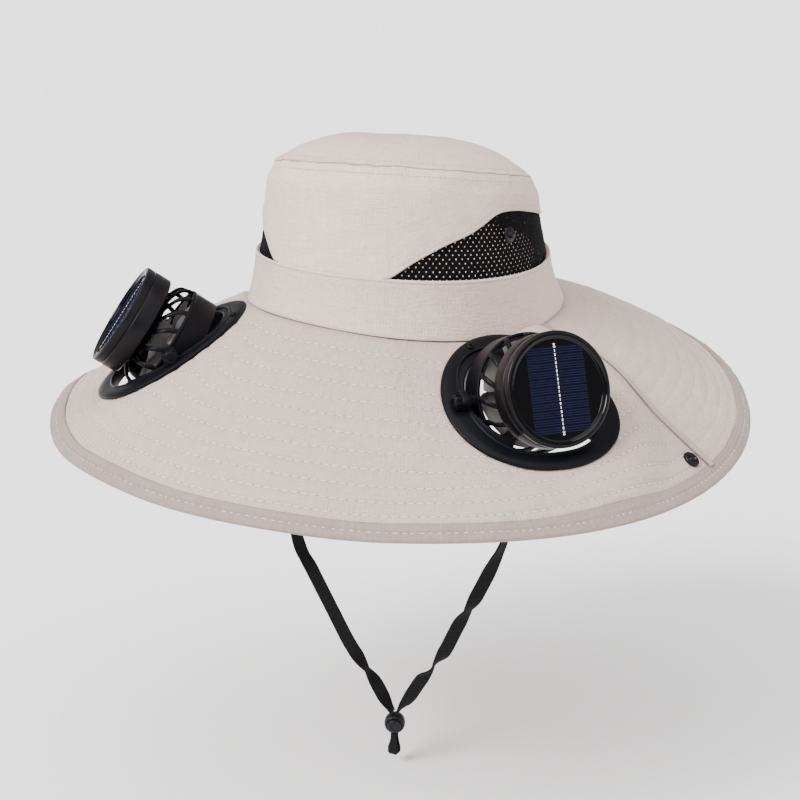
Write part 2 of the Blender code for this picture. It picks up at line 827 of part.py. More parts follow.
def make_pod(row, materials):
    side = row[0]
    pod = pod_empty(row)
    lift = Matrix.Translation((0.0, 0.0, PIVOT_HEIGHT * MM))
    tilt = empty("tilt_" + side, pod, lift @ Matrix.Rotation(radians(row[7]), 4, "Y"))
    make_flange(side, pod, materials["black_plastic"])
    make_fan_guard(side, tilt, materials["black_plastic"])
    make_fan_rotor(side, tilt, materials["grey_plastic"])
    make_solar_housing(side, tilt, materials["black_gloss"])
    make_solar_panel(side, tilt, materials["cell"])
    return make_hole_cutter(side, pod)


def standing_on(point, normal):
    """An empty's matrix at a point, its Z along the normal."""
    matrix = normal.to_track_quat("Z", "Y").to_matrix().to_4x4()
    matrix.translation = point * MM
    return matrix


def make_snap(name, point, normal, height, material):
    """A round press snap: a ring with a raised rim and a round nub in its middle."""
    profile = (
        # radius, height
        (0.0, 0.0),
        (SNAP_RADIUS, 0.0),
        (SNAP_RADIUS, height * 0.4),
        (SNAP_RADIUS - 1.0, height),
        (SNAP_RADIUS - 2.2, height),
        (SNAP_RADIUS - 2.8, height * 0.5),
        (1.4, height * 0.5),
        (1.0, height * 0.9),
        (0.0, height * 0.9),
    )
    seat = empty("seat_" + name, None, standing_on(point + normal * GAP, normal))
    bm = bmesh.new()
    add_lathe(bm, profile, 14, False)
    return finish_mesh(name, bm, material, seat)


def make_snaps(material):
    for side, way in (("left", -1.0), ("right", 1.0)):
        angle = radians(SNAP_ANGLE * way)
        point = brim_surface(angle, SNAP_SHARE)
        make_snap("brim_snap_" + side, point, brim_normal(angle, SNAP_SHARE), 1.8, material)
        angle = radians(STUD_ANGLE * way)
        point = crown_surface(angle, STUD_HEIGHT)
        make_snap("crown_stud_" + side, point, crown_normal(angle, STUD_HEIGHT), 2.4, material)


def smooth_route(rows, count):
    """Points read from a smooth curve through a route's rows, each with its turn."""
    points = [Vector(row) for row in rows]
    points = [points[0] * 2.0 - points[1]] + points + [points[-1] * 2.0 - points[-2]]
    spans = len(rows) - 1
    result = []
    for step in range(count + 1):
        place = spans * step / count
        span = min(int(place), spans - 1)
        share = place - span
        a, b, c, d = points[span:span + 4]
        result.append(0.5 * (2.0 * b + (c - a) * share + (2.0 * a - 5.0 * b + 4.0 * c - d) * share ** 2
                             + (3.0 * b - 3.0 * c + d - a) * share ** 3))
    return result


def make_strap(name, rows, width, material, steps):
    """Flat webbing swept along its route; turn twists its face about the route."""
    bm = bmesh.new()
    route = smooth_route(rows, steps)
    rings = []
    for index, row in enumerate(route):
        before = route[max(index - 1, 0)]
        after = route[min(index + 1, len(route) - 1)]
        along = Vector(after[:3]) - Vector(before[:3])
        along.normalize()
        face = Vector((0.0, -1.0, 0.0))
        face = (face - along * face.dot(along)).normalized()
        across = along.cross(face)
        turn = Matrix.Rotation(radians(row[3]), 3, along)
        face = turn @ face
        across = turn @ across
        ring = []
        for side, up in ((-0.5, -0.5), (0.5, -0.5), (0.5, 0.5), (-0.5, 0.5)):
            point = Vector(row[:3]) + across * width * side + face * STRAP_THICKNESS * up
            ring.append(bm.verts.new(point * MM))
        rings.append(ring)
    join_rings(bm, rings, True, False)
    bm.faces.new(rings[0])
    bm.faces.new(rings[-1])
    return finish_mesh(name, bm, material)


def tail_route():
    """The strap's folded end below the lock: down, round a small bend and up."""
    x, y, z = LOCK_CENTRE
    top = z - LOCK_RADIUS - GAP - 0.4
    half = 1.4
    bend = 1.9
    low = top - TAIL_LENGTH + bend
    rows = [(x, y - half, top, 0.0), (x, y - half, top - 4.0, 0.0), (x, y - bend, low, 0.0)]
    for step in range(1, 6):
        angle = pi * step / 6
        rows.append((x, y - bend * cos(angle), low - bend * sin(angle), 0.0))
    rows += [(x, y + bend, low, 0.0), (x, y + half, top - 4.0, 0.0), (x, y + half, top, 0.0)]
    return rows


def make_tail(material):
    """The tail folds back on itself, so its width stays along X all the way."""
    bm = bmesh.new()
    route = tail_route()
    rings = []
    for index, row in enumerate(route):
        before = Vector(route[max(index - 1, 0)][:3])
        after = Vector(route[min(index + 1, len(route) - 1)][:3])
        along = (after - before).normalized()
        across = Vector((1.0, 0.0, 0.0))
        face = across.cross(along)
        ring = []
        for side, up in ((-0.5, -0.5), (0.5, -0.5), (0.5, 0.5), (-0.5, 0.5)):
            point = Vector(row[:3]) + across * TAIL_WIDTH * side + face * STRAP_THICKNESS * up
            ring.append(bm.verts.new(point * MM))
        rings.append(ring)
    join_rings(bm, rings, True, False)
    bm.faces.new(rings[0])
    bm.faces.new(rings[-1])
    return finish_mesh("strap_tail", bm, material)


def make_lock(body_material, button_material):
    """Barrel cord lock: a round body with a spring button in its front."""
    facing = radians(LOCK_FACING)
    normal = Vector((sin(facing), -cos(facing), 0.0))
    seat = empty("lock_seat", None, standing_on(Vector(LOCK_CENTRE), normal))
    bore = BUTTON_RADIUS + GAP
    profile = (
        # radius, along
        (0.0, LOCK_BACK),
        (LOCK_RADIUS - 2.0, LOCK_BACK),
        (LOCK_RADIUS - 0.5, LOCK_BACK + 1.4),
        (LOCK_RADIUS, 0.0),
        (LOCK_RADIUS - 0.5, LOCK_FRONT - 1.2),
        (LOCK_RADIUS - 1.4, LOCK_FRONT),
        (bore, LOCK_FRONT),
        (bore, BUTTON_BACK - 2.6),
        (0.0, BUTTON_BACK - 2.6),
    )
    bm = bmesh.new()
    add_lathe(bm, profile, 20, False)
    finish_mesh("lock_body", bm, body_material, seat)
    profile = (
        # radius, along
        (0.0, BUTTON_BACK),
        (BUTTON_RADIUS, BUTTON_BACK),
        (BUTTON_RADIUS, BUTTON_FRONT - 0.9),
        (BUTTON_RADIUS - 0.9, BUTTON_FRONT),
        (0.0, BUTTON_FRONT),
    )
    bm = bmesh.new()
    add_lathe(bm, profile, 20, False)
    finish_mesh("lock_button", bm, button_material, seat)


def main():
    clear_scene()
    materials = {
        "cloth": make_material("cloth", CLOTH_COLOUR, 0.85),
        "net": make_material("net", NET_COLOUR, 0.9),
        "black_plastic": make_material("black_plastic", BLACK_COLOUR, 0.5),
        "black_gloss": make_material("black_gloss", BLACK_COLOUR, 0.25),
        "grey_plastic": make_material("grey_plastic", GREY_COLOUR, 0.5),
        "cell": make_material("cell", CELL_COLOUR, 0.1),
        "webbing": make_material("webbing", BLACK_COLOUR, 0.9),
    }
    make_crown_top(materials["cloth"])
    make_crown_side(materials["cloth"])
    make_mesh_panel(materials["net"])
    make_crown_band(materials["cloth"])
    cutters = [make_pod(row, materials) for row in PODS]
    make_brim_front(materials["cloth"], cutters)
    make_brim_back(materials["cloth"])
    make_brim_hem(materials["cloth"])
    make_snaps(materials["black_gloss"])
    make_strap("chin_strap_right", STRAP_ROUTE_RIGHT, STRAP_WIDTH, materials["webbing"], STRAP_STEPS)
    make_strap("chin_strap_left", STRAP_ROUTE_LEFT, STRAP_WIDTH, materials["webbing"], STRAP_STEPS)
    make_tail(materials["webbing"])
    make_lock(materials["black_plastic"], materials["black_gloss"])
    bpy.context.view_layer.update()


main()
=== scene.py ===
"""Sun hat with two tilting solar fans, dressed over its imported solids.

The origin is the middle of the head opening, +Z is up and the hat's front faces -Y.
Angles go round the head from the front towards +X.  Sizes in tables are millimetres.
"""
from math import atan2, copysign, cos, exp, hypot, pi, radians, sin, tan

import bpy
from mathutils import Matrix, Vector, noise


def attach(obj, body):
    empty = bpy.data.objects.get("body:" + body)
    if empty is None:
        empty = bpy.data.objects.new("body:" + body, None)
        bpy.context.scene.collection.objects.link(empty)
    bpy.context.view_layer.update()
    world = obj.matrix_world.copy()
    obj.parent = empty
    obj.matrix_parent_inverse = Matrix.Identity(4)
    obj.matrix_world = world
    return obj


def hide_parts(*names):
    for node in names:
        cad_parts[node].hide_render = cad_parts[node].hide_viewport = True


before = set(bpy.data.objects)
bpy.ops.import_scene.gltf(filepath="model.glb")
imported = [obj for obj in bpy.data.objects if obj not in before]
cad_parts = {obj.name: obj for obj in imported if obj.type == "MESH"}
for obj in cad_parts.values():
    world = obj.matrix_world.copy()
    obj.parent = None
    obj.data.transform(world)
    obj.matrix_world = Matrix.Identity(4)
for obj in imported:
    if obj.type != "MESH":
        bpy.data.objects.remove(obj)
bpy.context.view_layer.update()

bl_info = {
    "name": "Solar Fan Hat",
    "version": (1, 0, 0),
    "blender": (4, 5, 0),
    "location": "View3D > Sidebar > Fan Hat",
    "description": "Builds the cloth, net, fan pods and chin strap of a sun hat with solar fans",
    "category": "Object",
}

MM = 0.001

# Head opening and crown, as in the solids
OPENING_HALF_WIDTH = 90.0
OPENING_HALF_LENGTH = 108.0
BAND_TOP_HEIGHT = 32.4
BAND_FLARE = 1.7
CROWN_LENGTH_RATIO = 1.15
CROWN_SHIFT_X = (-1.6, -1.8)
CROWN_SHIFT_Y = (-2.6, -4.3)
SEAM_HEIGHT = 78.0
SEAM_FALL_TO_BACK = 0.165
SEAM_RISE_TO_RIGHT = 0.04
TOP_RISE = 20.5
TOP_FULLNESS = 3.2
CROWN_WALL_LENGTH = 52.0
# Cloth below the top seam, from it to the pole, and up the band
WALL_CLOTH = 46.0
TOP_CLOTH = 78.0
BAND_CLOTH = 36.0
BAND_STITCHES_DOWN = 2.4

CROWN_ROWS = (
    # height, half_width
    (0.0, 84.0),
    (0.5, 79.5),
    (0.8, 77.5),
    (1.0, 73.0),
)

NET_EDGE = (
    # angle, height
    (25.0, 0.0),
    (35.0, 0.17),
    (46.4, 0.323),
    (58.0, 0.437),
    (64.6, 0.534),
    (69.4, 0.61),
    (75.0, 0.647),
    (84.0, 0.651),
    (96.5, 0.618),
    (110.0, 0.56),
    (140.0, 0.52),
    (180.0, 0.51),
)
NET_TIP_ANGLE = 25.0
NET_YARN = 0.35
NET_DEPTH = 1.55
NET_DRIFT = 0.34
NET_SEED = 7
NET_HALF_TURN = 250.0
NET_TALLEST = 44.0
NET_FOOT = -0.07
NET_OVERLAP = 0.075
NET_WALL_RADIUS = 88.0
HALF_DIAGONAL = 0.7071

# Brim
BRIM_REACH = 117.0
BRIM_BOW = 1.2
HEM_WIDTH = 9.0
HEM_THICKNESS = 3.2
SIDE_SEAM_ANGLE = 86.0

RIM_DROP = (
    # turns, by_cosine, by_sine
    (0, 62.5, 0.0),
    (1, 10.0, 1.6),
    (2, -5.4, 4.8),
    (3, 0.4, -2.6),
)
OPENING_DROP = (
    # turns, by_cosine, by_sine
    (1, -2.2, -0.9),
    (2, -3.6, 3.4),
)
BAND_TOP_DROP = (
    # turns, by_cosine, by_sine
    (1, 0.8, 1.6),
    (2, -2.1, 0.0),
)
BRIM_WAVES = (
    # angle, share, angle_spread, share_spread, height
    (-78.0, 0.72, 8.0, 0.30, -2.6),
    (-66.0, 0.86, 7.0, 0.22, 1.6),
    (-38.0, 0.80, 9.0, 0.34, -2.4),
    (-18.0, 0.78, 9.0, 0.30, 1.4),
    (24.0, 0.86, 10.0, 0.26, -1.2),
    (112.0, 0.74, 12.0, 0.34, -1.6),
    (158.0, 0.80, 13.0, 0.34, 1.5),
    (-128.0, 0.76, 14.0, 0.34, -1.8),
)
CROWN_DENTS = (
    # angle, height, angle_spread, height_spread, depth
    (-32.0, 0.30, 9.0, 0.28, 1.6),
    (-14.0, 0.62, 7.0, 0.40, -0.7),
    (58.0, 0.78, 10.0, 0.14, 1.8),
    (14.0, 1.42, 16.0, 0.22, 1.4),
    (150.0, 0.70, 16.0, 0.30, 1.6),
    (-120.0, 0.66, 14.0, 0.26, 1.4),
)

# Tone of each cloth, with the length and width of its UV map in metres. The tones are partly painted
# light: the crown's top, wall, band and net-edge piping are painted lighter than the brim's same cotton,
# and the hem binding darker as painted shade.
COTTONS = {
    "crown top cotton": (1.3, 0.52, 0.078),
    "crown wall cotton": (1.44, 0.5, 0.046),
    "band cotton": (1.32, 0.58, 0.036),
    "piping cotton": (1.2, 0.5, 0.006),
    "brim cotton": (1.02, 0.5, 0.112),
    "back brim cotton": (1.1, 0.55, 0.112),
    "hem binding cotton": (0.62, 1.3, 0.022),
}
# Needle holes are flat dark discs of painted shade, this share of the cloth's colour.
HOLE_SHADE_TONE = 0.5

# Rows of topstitching on the brim, as shares of its reach, and the stitch sizes
BRIM_STITCH_ROWS = (0.123, 0.216, 0.306, 0.391, 0.472, 0.550, 0.627, 0.701, 0.771, 0.836, 0.893)
STITCH_PITCH = 4.9
STITCH_LENGTH = 4.0
STITCH_WIDTH = 0.72
STITCH_HEIGHT = 0.62
QUILT_PUFF = 0.5
SEAM_FOLD_WIDTH = 4.4
SEAM_FOLD_HEIGHT = 3.1

# Fan pods, as in the solids
PODS = (
    # side, angle, share, lift, slope, facing, turn, tilt
    ("left", -46.5, 0.385, -5.0, 31.0, -56.0, 5.0, 26.0),
    ("right", 58.9, 0.380, -1.2, 30.6, 54.6, -1.0, 40.0),
)
FLAT_RADIUS = 60.0
FLAT_FADE = 24.0
FLANGE_RADIUS = (50.0, 50.0)
FLANGE_EGG = 0.12
FLANGE_HOLE = (39.5, 36.6)
FLANGE_SQUARENESS = 2.5
HOLE_CLEARANCE = 2.3
PIVOT_HEIGHT = 6.0
DRUM_RADIUS = 32.6
DRUM_WALL = 1.5
SOCKET_RADIUS = 35.3
SOCKET_OPENING = 36.0
RIB_COUNT = 16
HOUSING_RADIUS = 30.7
HOUSING_BACK = 16.5
HOUSING_FRONT = 32.0
PANEL_RADIUS = 28.4
ROTOR_BLADES = 7
BLADE_ROWS = (
    # radius, chord, pitch
    (8.4, 8.0, 42.0),
    (16.0, 16.5, 33.0),
    (24.0, 23.5, 21.0),
    (29.4, 26.5, 15.0),
)
BLADE_HEIGHT = -0.8
CELL_HALF_WIDTH = 17.0
CELL_HALF_LENGTH = 22.8
CELL_ROWS = 11

SNAP_SHARE = 0.868
SNAP_ANGLE = 83.9
STUD_ANGLE = 76.0
STUD_HEIGHT = 0.40

# Chin strap
STRAP_WIDTH = 8.6
STRAP_THICKNESS = 1.3
STRAP_ROUTE_RIGHT = (
    # x, y, z
    (80.8, 1.0, 15.0),
    (83.6, 1.0, 4.0),
    (85.2, 1.0, -12.0),
    (85.6, 0.5, -40.0),
    (84.2, -0.5, -75.0),
    (80.0, -1.6, -110.0),
    (71.8, -2.6, -140.7),
    (66.4, -3.0, -154.9),
    (53.2, -3.0, -184.3),
    (43.4, -3.0, -202.5),
    (34.3, -3.0, -222.8),
    (26.6, -2.8, -235.6),
    (17.6, -2.6, -247.9),
    (8.6, -2.2, -263.5),
    (1.6, -1.9, -274.6),
)
STRAP_ROUTE_LEFT = (
    # x, y, z
    (-83.2, 1.0, 15.0),
    (-84.8, 1.0, 4.0),
    (-86.0, 1.0, -12.0),
    (-88.4, 0.5, -45.0),
    (-88.6, -1.0, -90.0),
    (-85.0, -2.0, -130.0),
    (-75.0, -3.4, -170.8),
    (-63.4, -4.0, -189.4),
    (-47.6, -4.2, -214.1),
    (-35.6, -4.4, -232.6),
    (-25.6, -4.4, -244.8),
    (-15.3, -4.4, -256.2),
    (-7.4, -4.6, -267.2),
    (-1.6, -4.7, -274.6),
)
STRAP_TWIST_RIGHT = (
    # depth below the brim's opening, turn
    (-15.0, -90.0),
    (75.0, -86.0),
    (110.0, -84.0),
    (140.0, -84.0),
    (150.0, -70.0),
    (165.0, -26.0),
    (182.0, -22.0),
    (192.5, -78.0),
    (203.0, -24.0),
    (224.0, -22.0),
    (236.5, -108.0),
    (247.0, -26.0),
    (260.0, -22.0),
    (268.0, -58.0),
    (275.0, -100.0),
)
STRAP_TWIST_LEFT = (
    # depth below the brim's opening, turn
    (-15.0, -90.0),
    (45.0, -88.0),
    (90.0, -88.0),
    (140.0, -84.0),
    (168.0, -64.0),
    (175.0, -56.0),
    (181.0, -66.0),
    (192.0, -26.0),
    (215.0, -22.0),
    (238.0, -26.0),
    (249.5, -108.0),
    (259.0, -38.0),
    (265.0, -50.0),
    (271.0, -92.0),
    (275.0, -108.0),
)
LOCK_CENTRE = (-0.6, -3.3, -282.6)
LOCK_FACING = 24.0
TAIL_LENGTH = 15.0
TAIL_WIDTH = 6.0
TAIL_WIDTHS = (
    # share of the folded loop, width
    (0.0, 0.6), (0.08, 0.62), (0.155, 0.84), (0.23, 1.2), (0.31, 1.18), (0.4, 0.86), (0.5, 0.46),
    (0.6, 0.86), (0.69, 1.18), (0.77, 1.2), (0.845, 0.84), (0.92, 0.62), (1.0, 0.6),
)
TAIL_FOLD = 1.9

# The photographer's place
CAMERA_AZIMUTH = 28.0
CAMERA_ELEVATION = 16.5
CAMERA_ROLL = 1.3
CAMERA_DISTANCE = 1.0
CAMERA_LENS = 74.25
ORIGIN_PIXEL = (408.0, 298.4)
FOCAL_PIXELS = 1650.0
HALF_FRAME = 400.0
FLOOR_METRES = -0.312
LIGHTS = (
    # name, azimuth, elevation, spread, share of the key light
    ("key", -26.0, 38.0, 30.0, 1.0),
    ("fill", 84.0, 30.0, 70.0, 0.26),
    ("top", 20.0, 80.0, 60.0, 0.5),
)


# Reading the tables

def table_value(rows, place, column):
    if place <= rows[0][0]:
        return rows[0][column]
    for low, high in zip(rows, rows[1:]):
        if place <= high[0]:
            share = (place - low[0]) / (high[0] - low[0])
            return low[column] + (high[column] - low[column]) * share
    return rows[-1][column]


def harmonics(rows, angle):
    return sum(c * cos(n * angle) + s * sin(n * angle) for n, c, s in rows)


def smooth_step(low, high, value):
    share = min(max((value - low) / (high - low), 0.0), 1.0)
    return share * share * (3.0 - 2.0 * share)


def angle_apart(first, second):
    return atan2(sin(first - second), cos(first - second))


def bump(rows, angle, share):
    height = 0.0
    for at_angle, at_share, angle_spread, share_spread, size in rows:
        across = angle_apart(angle, radians(at_angle)) / radians(angle_spread)
        along = (share - at_share) / share_spread
        height += size * exp(-across * across - along * along)
    return height


def ripple(point, size, seed):
    """Gentle noise between -1 and 1; size is the width of a ripple in millimetres."""
    return noise.noise(Vector((point[0] + seed * 31.7, point[1], point[2])) / size)


# The hat's surfaces

def crown_axes(height):
    half_width = table_value(CROWN_ROWS, height, 1)
    shift_x = CROWN_SHIFT_X[0] + (CROWN_SHIFT_X[1] - CROWN_SHIFT_X[0]) * height
    shift_y = CROWN_SHIFT_Y[0] + (CROWN_SHIFT_Y[1] - CROWN_SHIFT_Y[0]) * height
    return half_width, half_width * CROWN_LENGTH_RATIO, shift_x, shift_y


def seam_plane(x, y):
    return SEAM_HEIGHT - SEAM_FALL_TO_BACK * y + SEAM_RISE_TO_RIGHT * x


def crown_surface(angle, height):
    """Outer face: band from -1 to 0, crown wall from 0 to 1, top from 1 to 2."""
    band_top = BAND_TOP_HEIGHT - harmonics(BAND_TOP_DROP, angle)
    if height < 0.0:
        up = height + 1.0
        draw = 1.0 - max(1.0 - up, 0.0) ** BAND_FLARE
        top_width, top_length, shift_x, shift_y = crown_axes(0.0)
        half_width = OPENING_HALF_WIDTH + (top_width - OPENING_HALF_WIDTH) * draw
        half_length = OPENING_HALF_LENGTH + (top_length - OPENING_HALF_LENGTH) * draw
        low = -harmonics(OPENING_DROP, angle)
        x = half_width * sin(angle) + shift_x * draw
        y = -half_length * cos(angle) + shift_y * draw
        return Vector((x, y, low + (band_top - low) * up))
    wall = min(height, 1.0)
    half_width, half_length, shift_x, shift_y = crown_axes(wall)
    dent = bump(CROWN_DENTS, angle, height) * smooth_step(0.0, 0.15, abs(height - 1.0))
    if height <= 1.0:
        half_width -= dent
    share = 1.0 if height <= 1.0 else 2.0 - height
    x = half_width * share * sin(angle) + shift_x
    y = -half_length * share * cos(angle) + shift_y
    if height <= 1.0:
        return Vector((x, y, band_top + (seam_plane(x, y) - band_top) * height))
    rise = TOP_RISE * (1.0 - share ** TOP_FULLNESS)
    return Vector((x, y, seam_plane(x, y) + rise - dent * smooth_step(0.0, 0.2, share)))


def crown_normal(angle, height):
    if height > 1.93:
        return Vector((-SEAM_RISE_TO_RIGHT, SEAM_FALL_TO_BACK, 1.0)).normalized()
    low = max(height - 0.03, -1.0)
    round_way = crown_surface(angle + 0.03, height) - crown_surface(angle - 0.03, height)
    up_way = crown_surface(angle, height + 0.03) - crown_surface(angle, low)
    normal = round_way.cross(up_way).normalized()
    if height < -0.9:
        normal.z = 0.0
        normal.normalize()
    return normal


def plain_brim(angle, share):
    reach = BRIM_REACH * share
    bow = max(share, 0.0) ** BRIM_BOW
    drop = harmonics(OPENING_DROP, angle) * (1.0 - bow) + harmonics(RIM_DROP, angle) * bow
    x = (OPENING_HALF_WIDTH + reach) * sin(angle)
    y = -(OPENING_HALF_LENGTH + reach) * cos(angle)
    return Vector((x, y, -drop))


def pod_frame(row):
    """Centre, downhill way, way round the head, normal, outward way and fall of a pod."""
    angle, share, lift, slope, facing = row[1:6]
    centre = plain_brim(radians(angle), share) + Vector((0.0, 0.0, lift))
    outward = Vector((sin(radians(facing)), -cos(radians(facing)), 0.0))
    across = Vector((cos(radians(facing)), sin(radians(facing)), 0.0))
    up = Vector((0.0, 0.0, 1.0))
    downhill = outward * cos(radians(slope)) - up * sin(radians(slope))
    normal = outward * sin(radians(slope)) + up * cos(radians(slope))
    return centre, downhill, across, normal, outward, tan(radians(slope))


POD_FRAMES = [pod_frame(row) for row in PODS]


def brim_surface(angle, share):
    """Upper face of the brim, flat under each pod, with its soft waves."""
    point = plain_brim(angle, share)
    free = 1.0
    for centre, downhill, across, normal, outward, fall in POD_FRAMES:
        away = point - centre
        out = away.x * outward.x + away.y * outward.y
        sideways = away.x * across.x + away.y * across.y
        distance = hypot(out / downhill.dot(outward), sideways)
        if distance > FLAT_RADIUS + FLAT_FADE:
            continue
        hold = 1.0 - smooth_step(FLAT_RADIUS, FLAT_RADIUS + FLAT_FADE, distance)
        hold *= smooth_step(0.0, 0.05, share)
        point.z += (centre.z - out * fall - point.z) * hold
        free *= 1.0 - hold
    point.z += bump(BRIM_WAVES, angle, share) * free * smooth_step(0.0, 0.3, share)
    return point


def brim_normal(angle, share):
    low = max(share - 0.012, -0.02)
    round_way = brim_surface(angle + 0.012, share) - brim_surface(angle - 0.012, share)
    out_way = brim_surface(angle, share + 0.012) - brim_surface(angle, low)
    return out_way.cross(round_way).normalized()


def pod_distance(point):
    """How far a point is from the nearer pod's centre, in its plane."""
    return min((point - pod[0]).length for pod in POD_FRAMES)


def from_seam(angle):
    """Degrees past a side seam, positive on the back panel."""
    return abs(angle_apart(angle, 0.0)) * 180.0 / pi - SIDE_SEAM_ANGLE


def quilt(share):
    """The cloth puffs up between two rows of stitching and is drawn in along each."""
    rows = (0.0,) + BRIM_STITCH_ROWS + (0.93,)
    for low, high in zip(rows, rows[1:]):
        if low <= share <= high:
            place = (share - low) / (high - low)
            return (sin(pi * place) ** 0.7) - 1.0
    return -1.0


def brim_cloth(angle, share):
    """Brim surface with its quilting, small puckers and the folded back seam."""
    point = brim_surface(angle, share)
    past = from_seam(angle)
    reach = (OPENING_HALF_WIDTH + BRIM_REACH * share) * pi / 180.0
    along = past * reach
    rise = quilt(share) * QUILT_PUFF
    rise += ripple(point, 9.0, 1) * 0.18 + ripple(point, 30.0, 2) * 0.6
    free = smooth_step(52.0, 78.0, pod_distance(point)) * smooth_step(0.12, 0.4, share)
    rise += ripple(point, 46.0, 12) * 2.1 * free * (1.0 - smooth_step(0.78, 0.93, share))
    if past >= 0.0:
        middle = (along - SEAM_FOLD_WIDTH * 0.5) / (SEAM_FOLD_WIDTH * 0.5)
        fold = max(1.0 - middle ** 4, 0.0) ** 0.6 * SEAM_FOLD_HEIGHT
        fold *= 0.85 + 0.3 * ripple(point, 14.0, 5)
        fold -= exp(-((along - SEAM_FOLD_WIDTH - 0.9) / 0.9) ** 2) * 1.5
        rise = rise * smooth_step(3.0, 9.0, along) + fold * smooth_step(0.03, 0.12, share) + 0.3
        rise += ripple(point, 16.0, 5) * 0.3
    else:
        rise -= exp(-(along / 1.6) ** 2) * 0.6
    return point, rise


# Working with meshes as by hand

def select_only(item):
    if bpy.context.mode != "OBJECT":
        bpy.ops.object.mode_set(mode="OBJECT")
    bpy.ops.object.select_all(action="DESELECT")
    item.select_set(True)
    bpy.context.view_layer.objects.active = item


def started(name, add, **values):
    """A piece begun with one of Blender's own primitives, in metres."""
    if bpy.context.mode != "OBJECT":
        bpy.ops.object.mode_set(mode="OBJECT")
    bpy.ops.object.select_all(action="DESELECT")
    add(**values)
    item = bpy.context.object
    item.name = name
    item.data.name = name
    return item


def linked(name, mesh):
    item = bpy.data.objects.new(name, mesh)
    bpy.context.collection.objects.link(item)
    return item


def apply_all(item):
    select_only(item)
    for modifier in list(item.modifiers):
        if bpy.ops.object.modifier_apply(modifier=modifier.name) != {"FINISHED"}:
            raise RuntimeError(item.name + ": a modifier could not be applied")


def settle(item, matrix=None):
    """Put the piece in its place and move that place into its mesh."""
    select_only(item)
    if matrix is not None:
        item.matrix_world = matrix
        bpy.context.view_layer.update()
    bpy.ops.object.transform_apply(location=True, rotation=True, scale=True)


def soften(item, width, angle=32.0):
    bevel = item.modifiers.new("edges", "BEVEL")
    bevel.width = width * MM
    bevel.segments = 2
    bevel.limit_method = "ANGLE"
    bevel.angle_limit = radians(angle)
    apply_all(item)


def smooth(item, angle=40.0):
    select_only(item)
    bpy.ops.object.shade_smooth_by_angle(angle=radians(angle))


def thicken(item, thickness):
    wall = item.modifiers.new("cloth", "SOLIDIFY")
    wall.thickness = thickness * MM
    wall.offset = -1.0
    wall.use_even_offset = False
    apply_all(item)


def even_steps(count):
    return [step / count for step in range(count + 1)]


def laid_grid(name, columns, rows, place, closed=False):
    """A grid laid on a surface: place(u, v) gives each corner's point in millimetres.

    Columns and rows are counts for even spacing, or lists of every u or v between 0 and 1.
    """
    u_list = columns if isinstance(columns, list) else even_steps(columns)
    v_list = rows if isinstance(rows, list) else even_steps(rows)
    wide = len(u_list) - 1
    high = len(v_list) - 1
    item = started(name, bpy.ops.mesh.primitive_grid_add, size=2.0,
                   x_subdivisions=wide, y_subdivisions=high)
    spots = []
    for vertex in item.data.vertices:
        u = u_list[round((vertex.co.x + 1.0) * 0.5 * wide)]
        v = v_list[round((vertex.co.y + 1.0) * 0.5 * high)]
        spots.append((u, v))
        vertex.co = place(u, v) * MM
    layer = item.data.uv_layers.active.data
    for loop in item.data.loops:
        layer[loop.index].uv = spots[loop.vertex_index]
    if closed:
        select_only(item)
        bpy.ops.object.mode_set(mode="EDIT")
        bpy.ops.mesh.select_all(action="SELECT")
        bpy.ops.mesh.remove_doubles(threshold=0.00001)
        bpy.ops.object.mode_set(mode="OBJECT")
    return item


def turned(name, profile, sides, ring=False):
    """A round piece raised from a circle, one extrusion to each row of the profile."""
    radius, height = profile[0]
    item = started(name, bpy.ops.mesh.primitive_circle_add, vertices=sides, radius=radius * MM,
                   location=(0.0, 0.0, height * MM))
    bpy.ops.object.transform_apply(location=True, rotation=True, scale=True)
    bpy.ops.object.mode_set(mode="EDIT")
    bpy.ops.mesh.select_all(action="SELECT")
    for low, high in zip(profile, profile[1:]):
        rise = (0.0, 0.0, (high[1] - low[1]) * MM)
        bpy.ops.mesh.extrude_region_move(TRANSFORM_OT_translate={"value": rise})
        grow = high[0] / low[0]
        middle = (0.0, 0.0, high[1] * MM)
        bpy.ops.transform.resize(value=(grow, grow, 1.0), center_override=middle)
    bpy.ops.mesh.select_all(action="DESELECT")
    bpy.ops.mesh.select_mode(type="EDGE")
    bpy.ops.mesh.select_non_manifold()
    if ring:
        bpy.ops.mesh.bridge_edge_loops()
    else:
        bpy.ops.mesh.fill_holes(sides=0)
    bpy.ops.mesh.select_all(action="SELECT")
    bpy.ops.mesh.normals_make_consistent(inside=False)
    bpy.ops.mesh.select_mode(type="VERT")
    bpy.ops.object.mode_set(mode="OBJECT")
    return item


def block(name, centre, size):
    item = started(name, bpy.ops.mesh.primitive_cube_add, size=1.0, location=Vector(centre) * MM)
    item.scale = Vector(size) * MM
    bpy.ops.object.transform_apply(location=True, rotation=True, scale=True)
    return item


def copies_round(item, count, first=0.0):
    """Copies of a piece set at equal angles about Z, joined to it as one mesh."""
    template = item.data.copy()
    item.data.transform(Matrix.Rotation(first, 4, "Z"))
    others = []
    for index in range(1, count):
        mesh = template.copy()
        mesh.transform(Matrix.Rotation(first + 2.0 * pi * index / count, 4, "Z"))
        others.append(linked(item.name, mesh))
    return joined(item, others)


def joined(item, others):
    select_only(item)
    for other in others:
        other.select_set(True)
    bpy.ops.object.join()
    return item


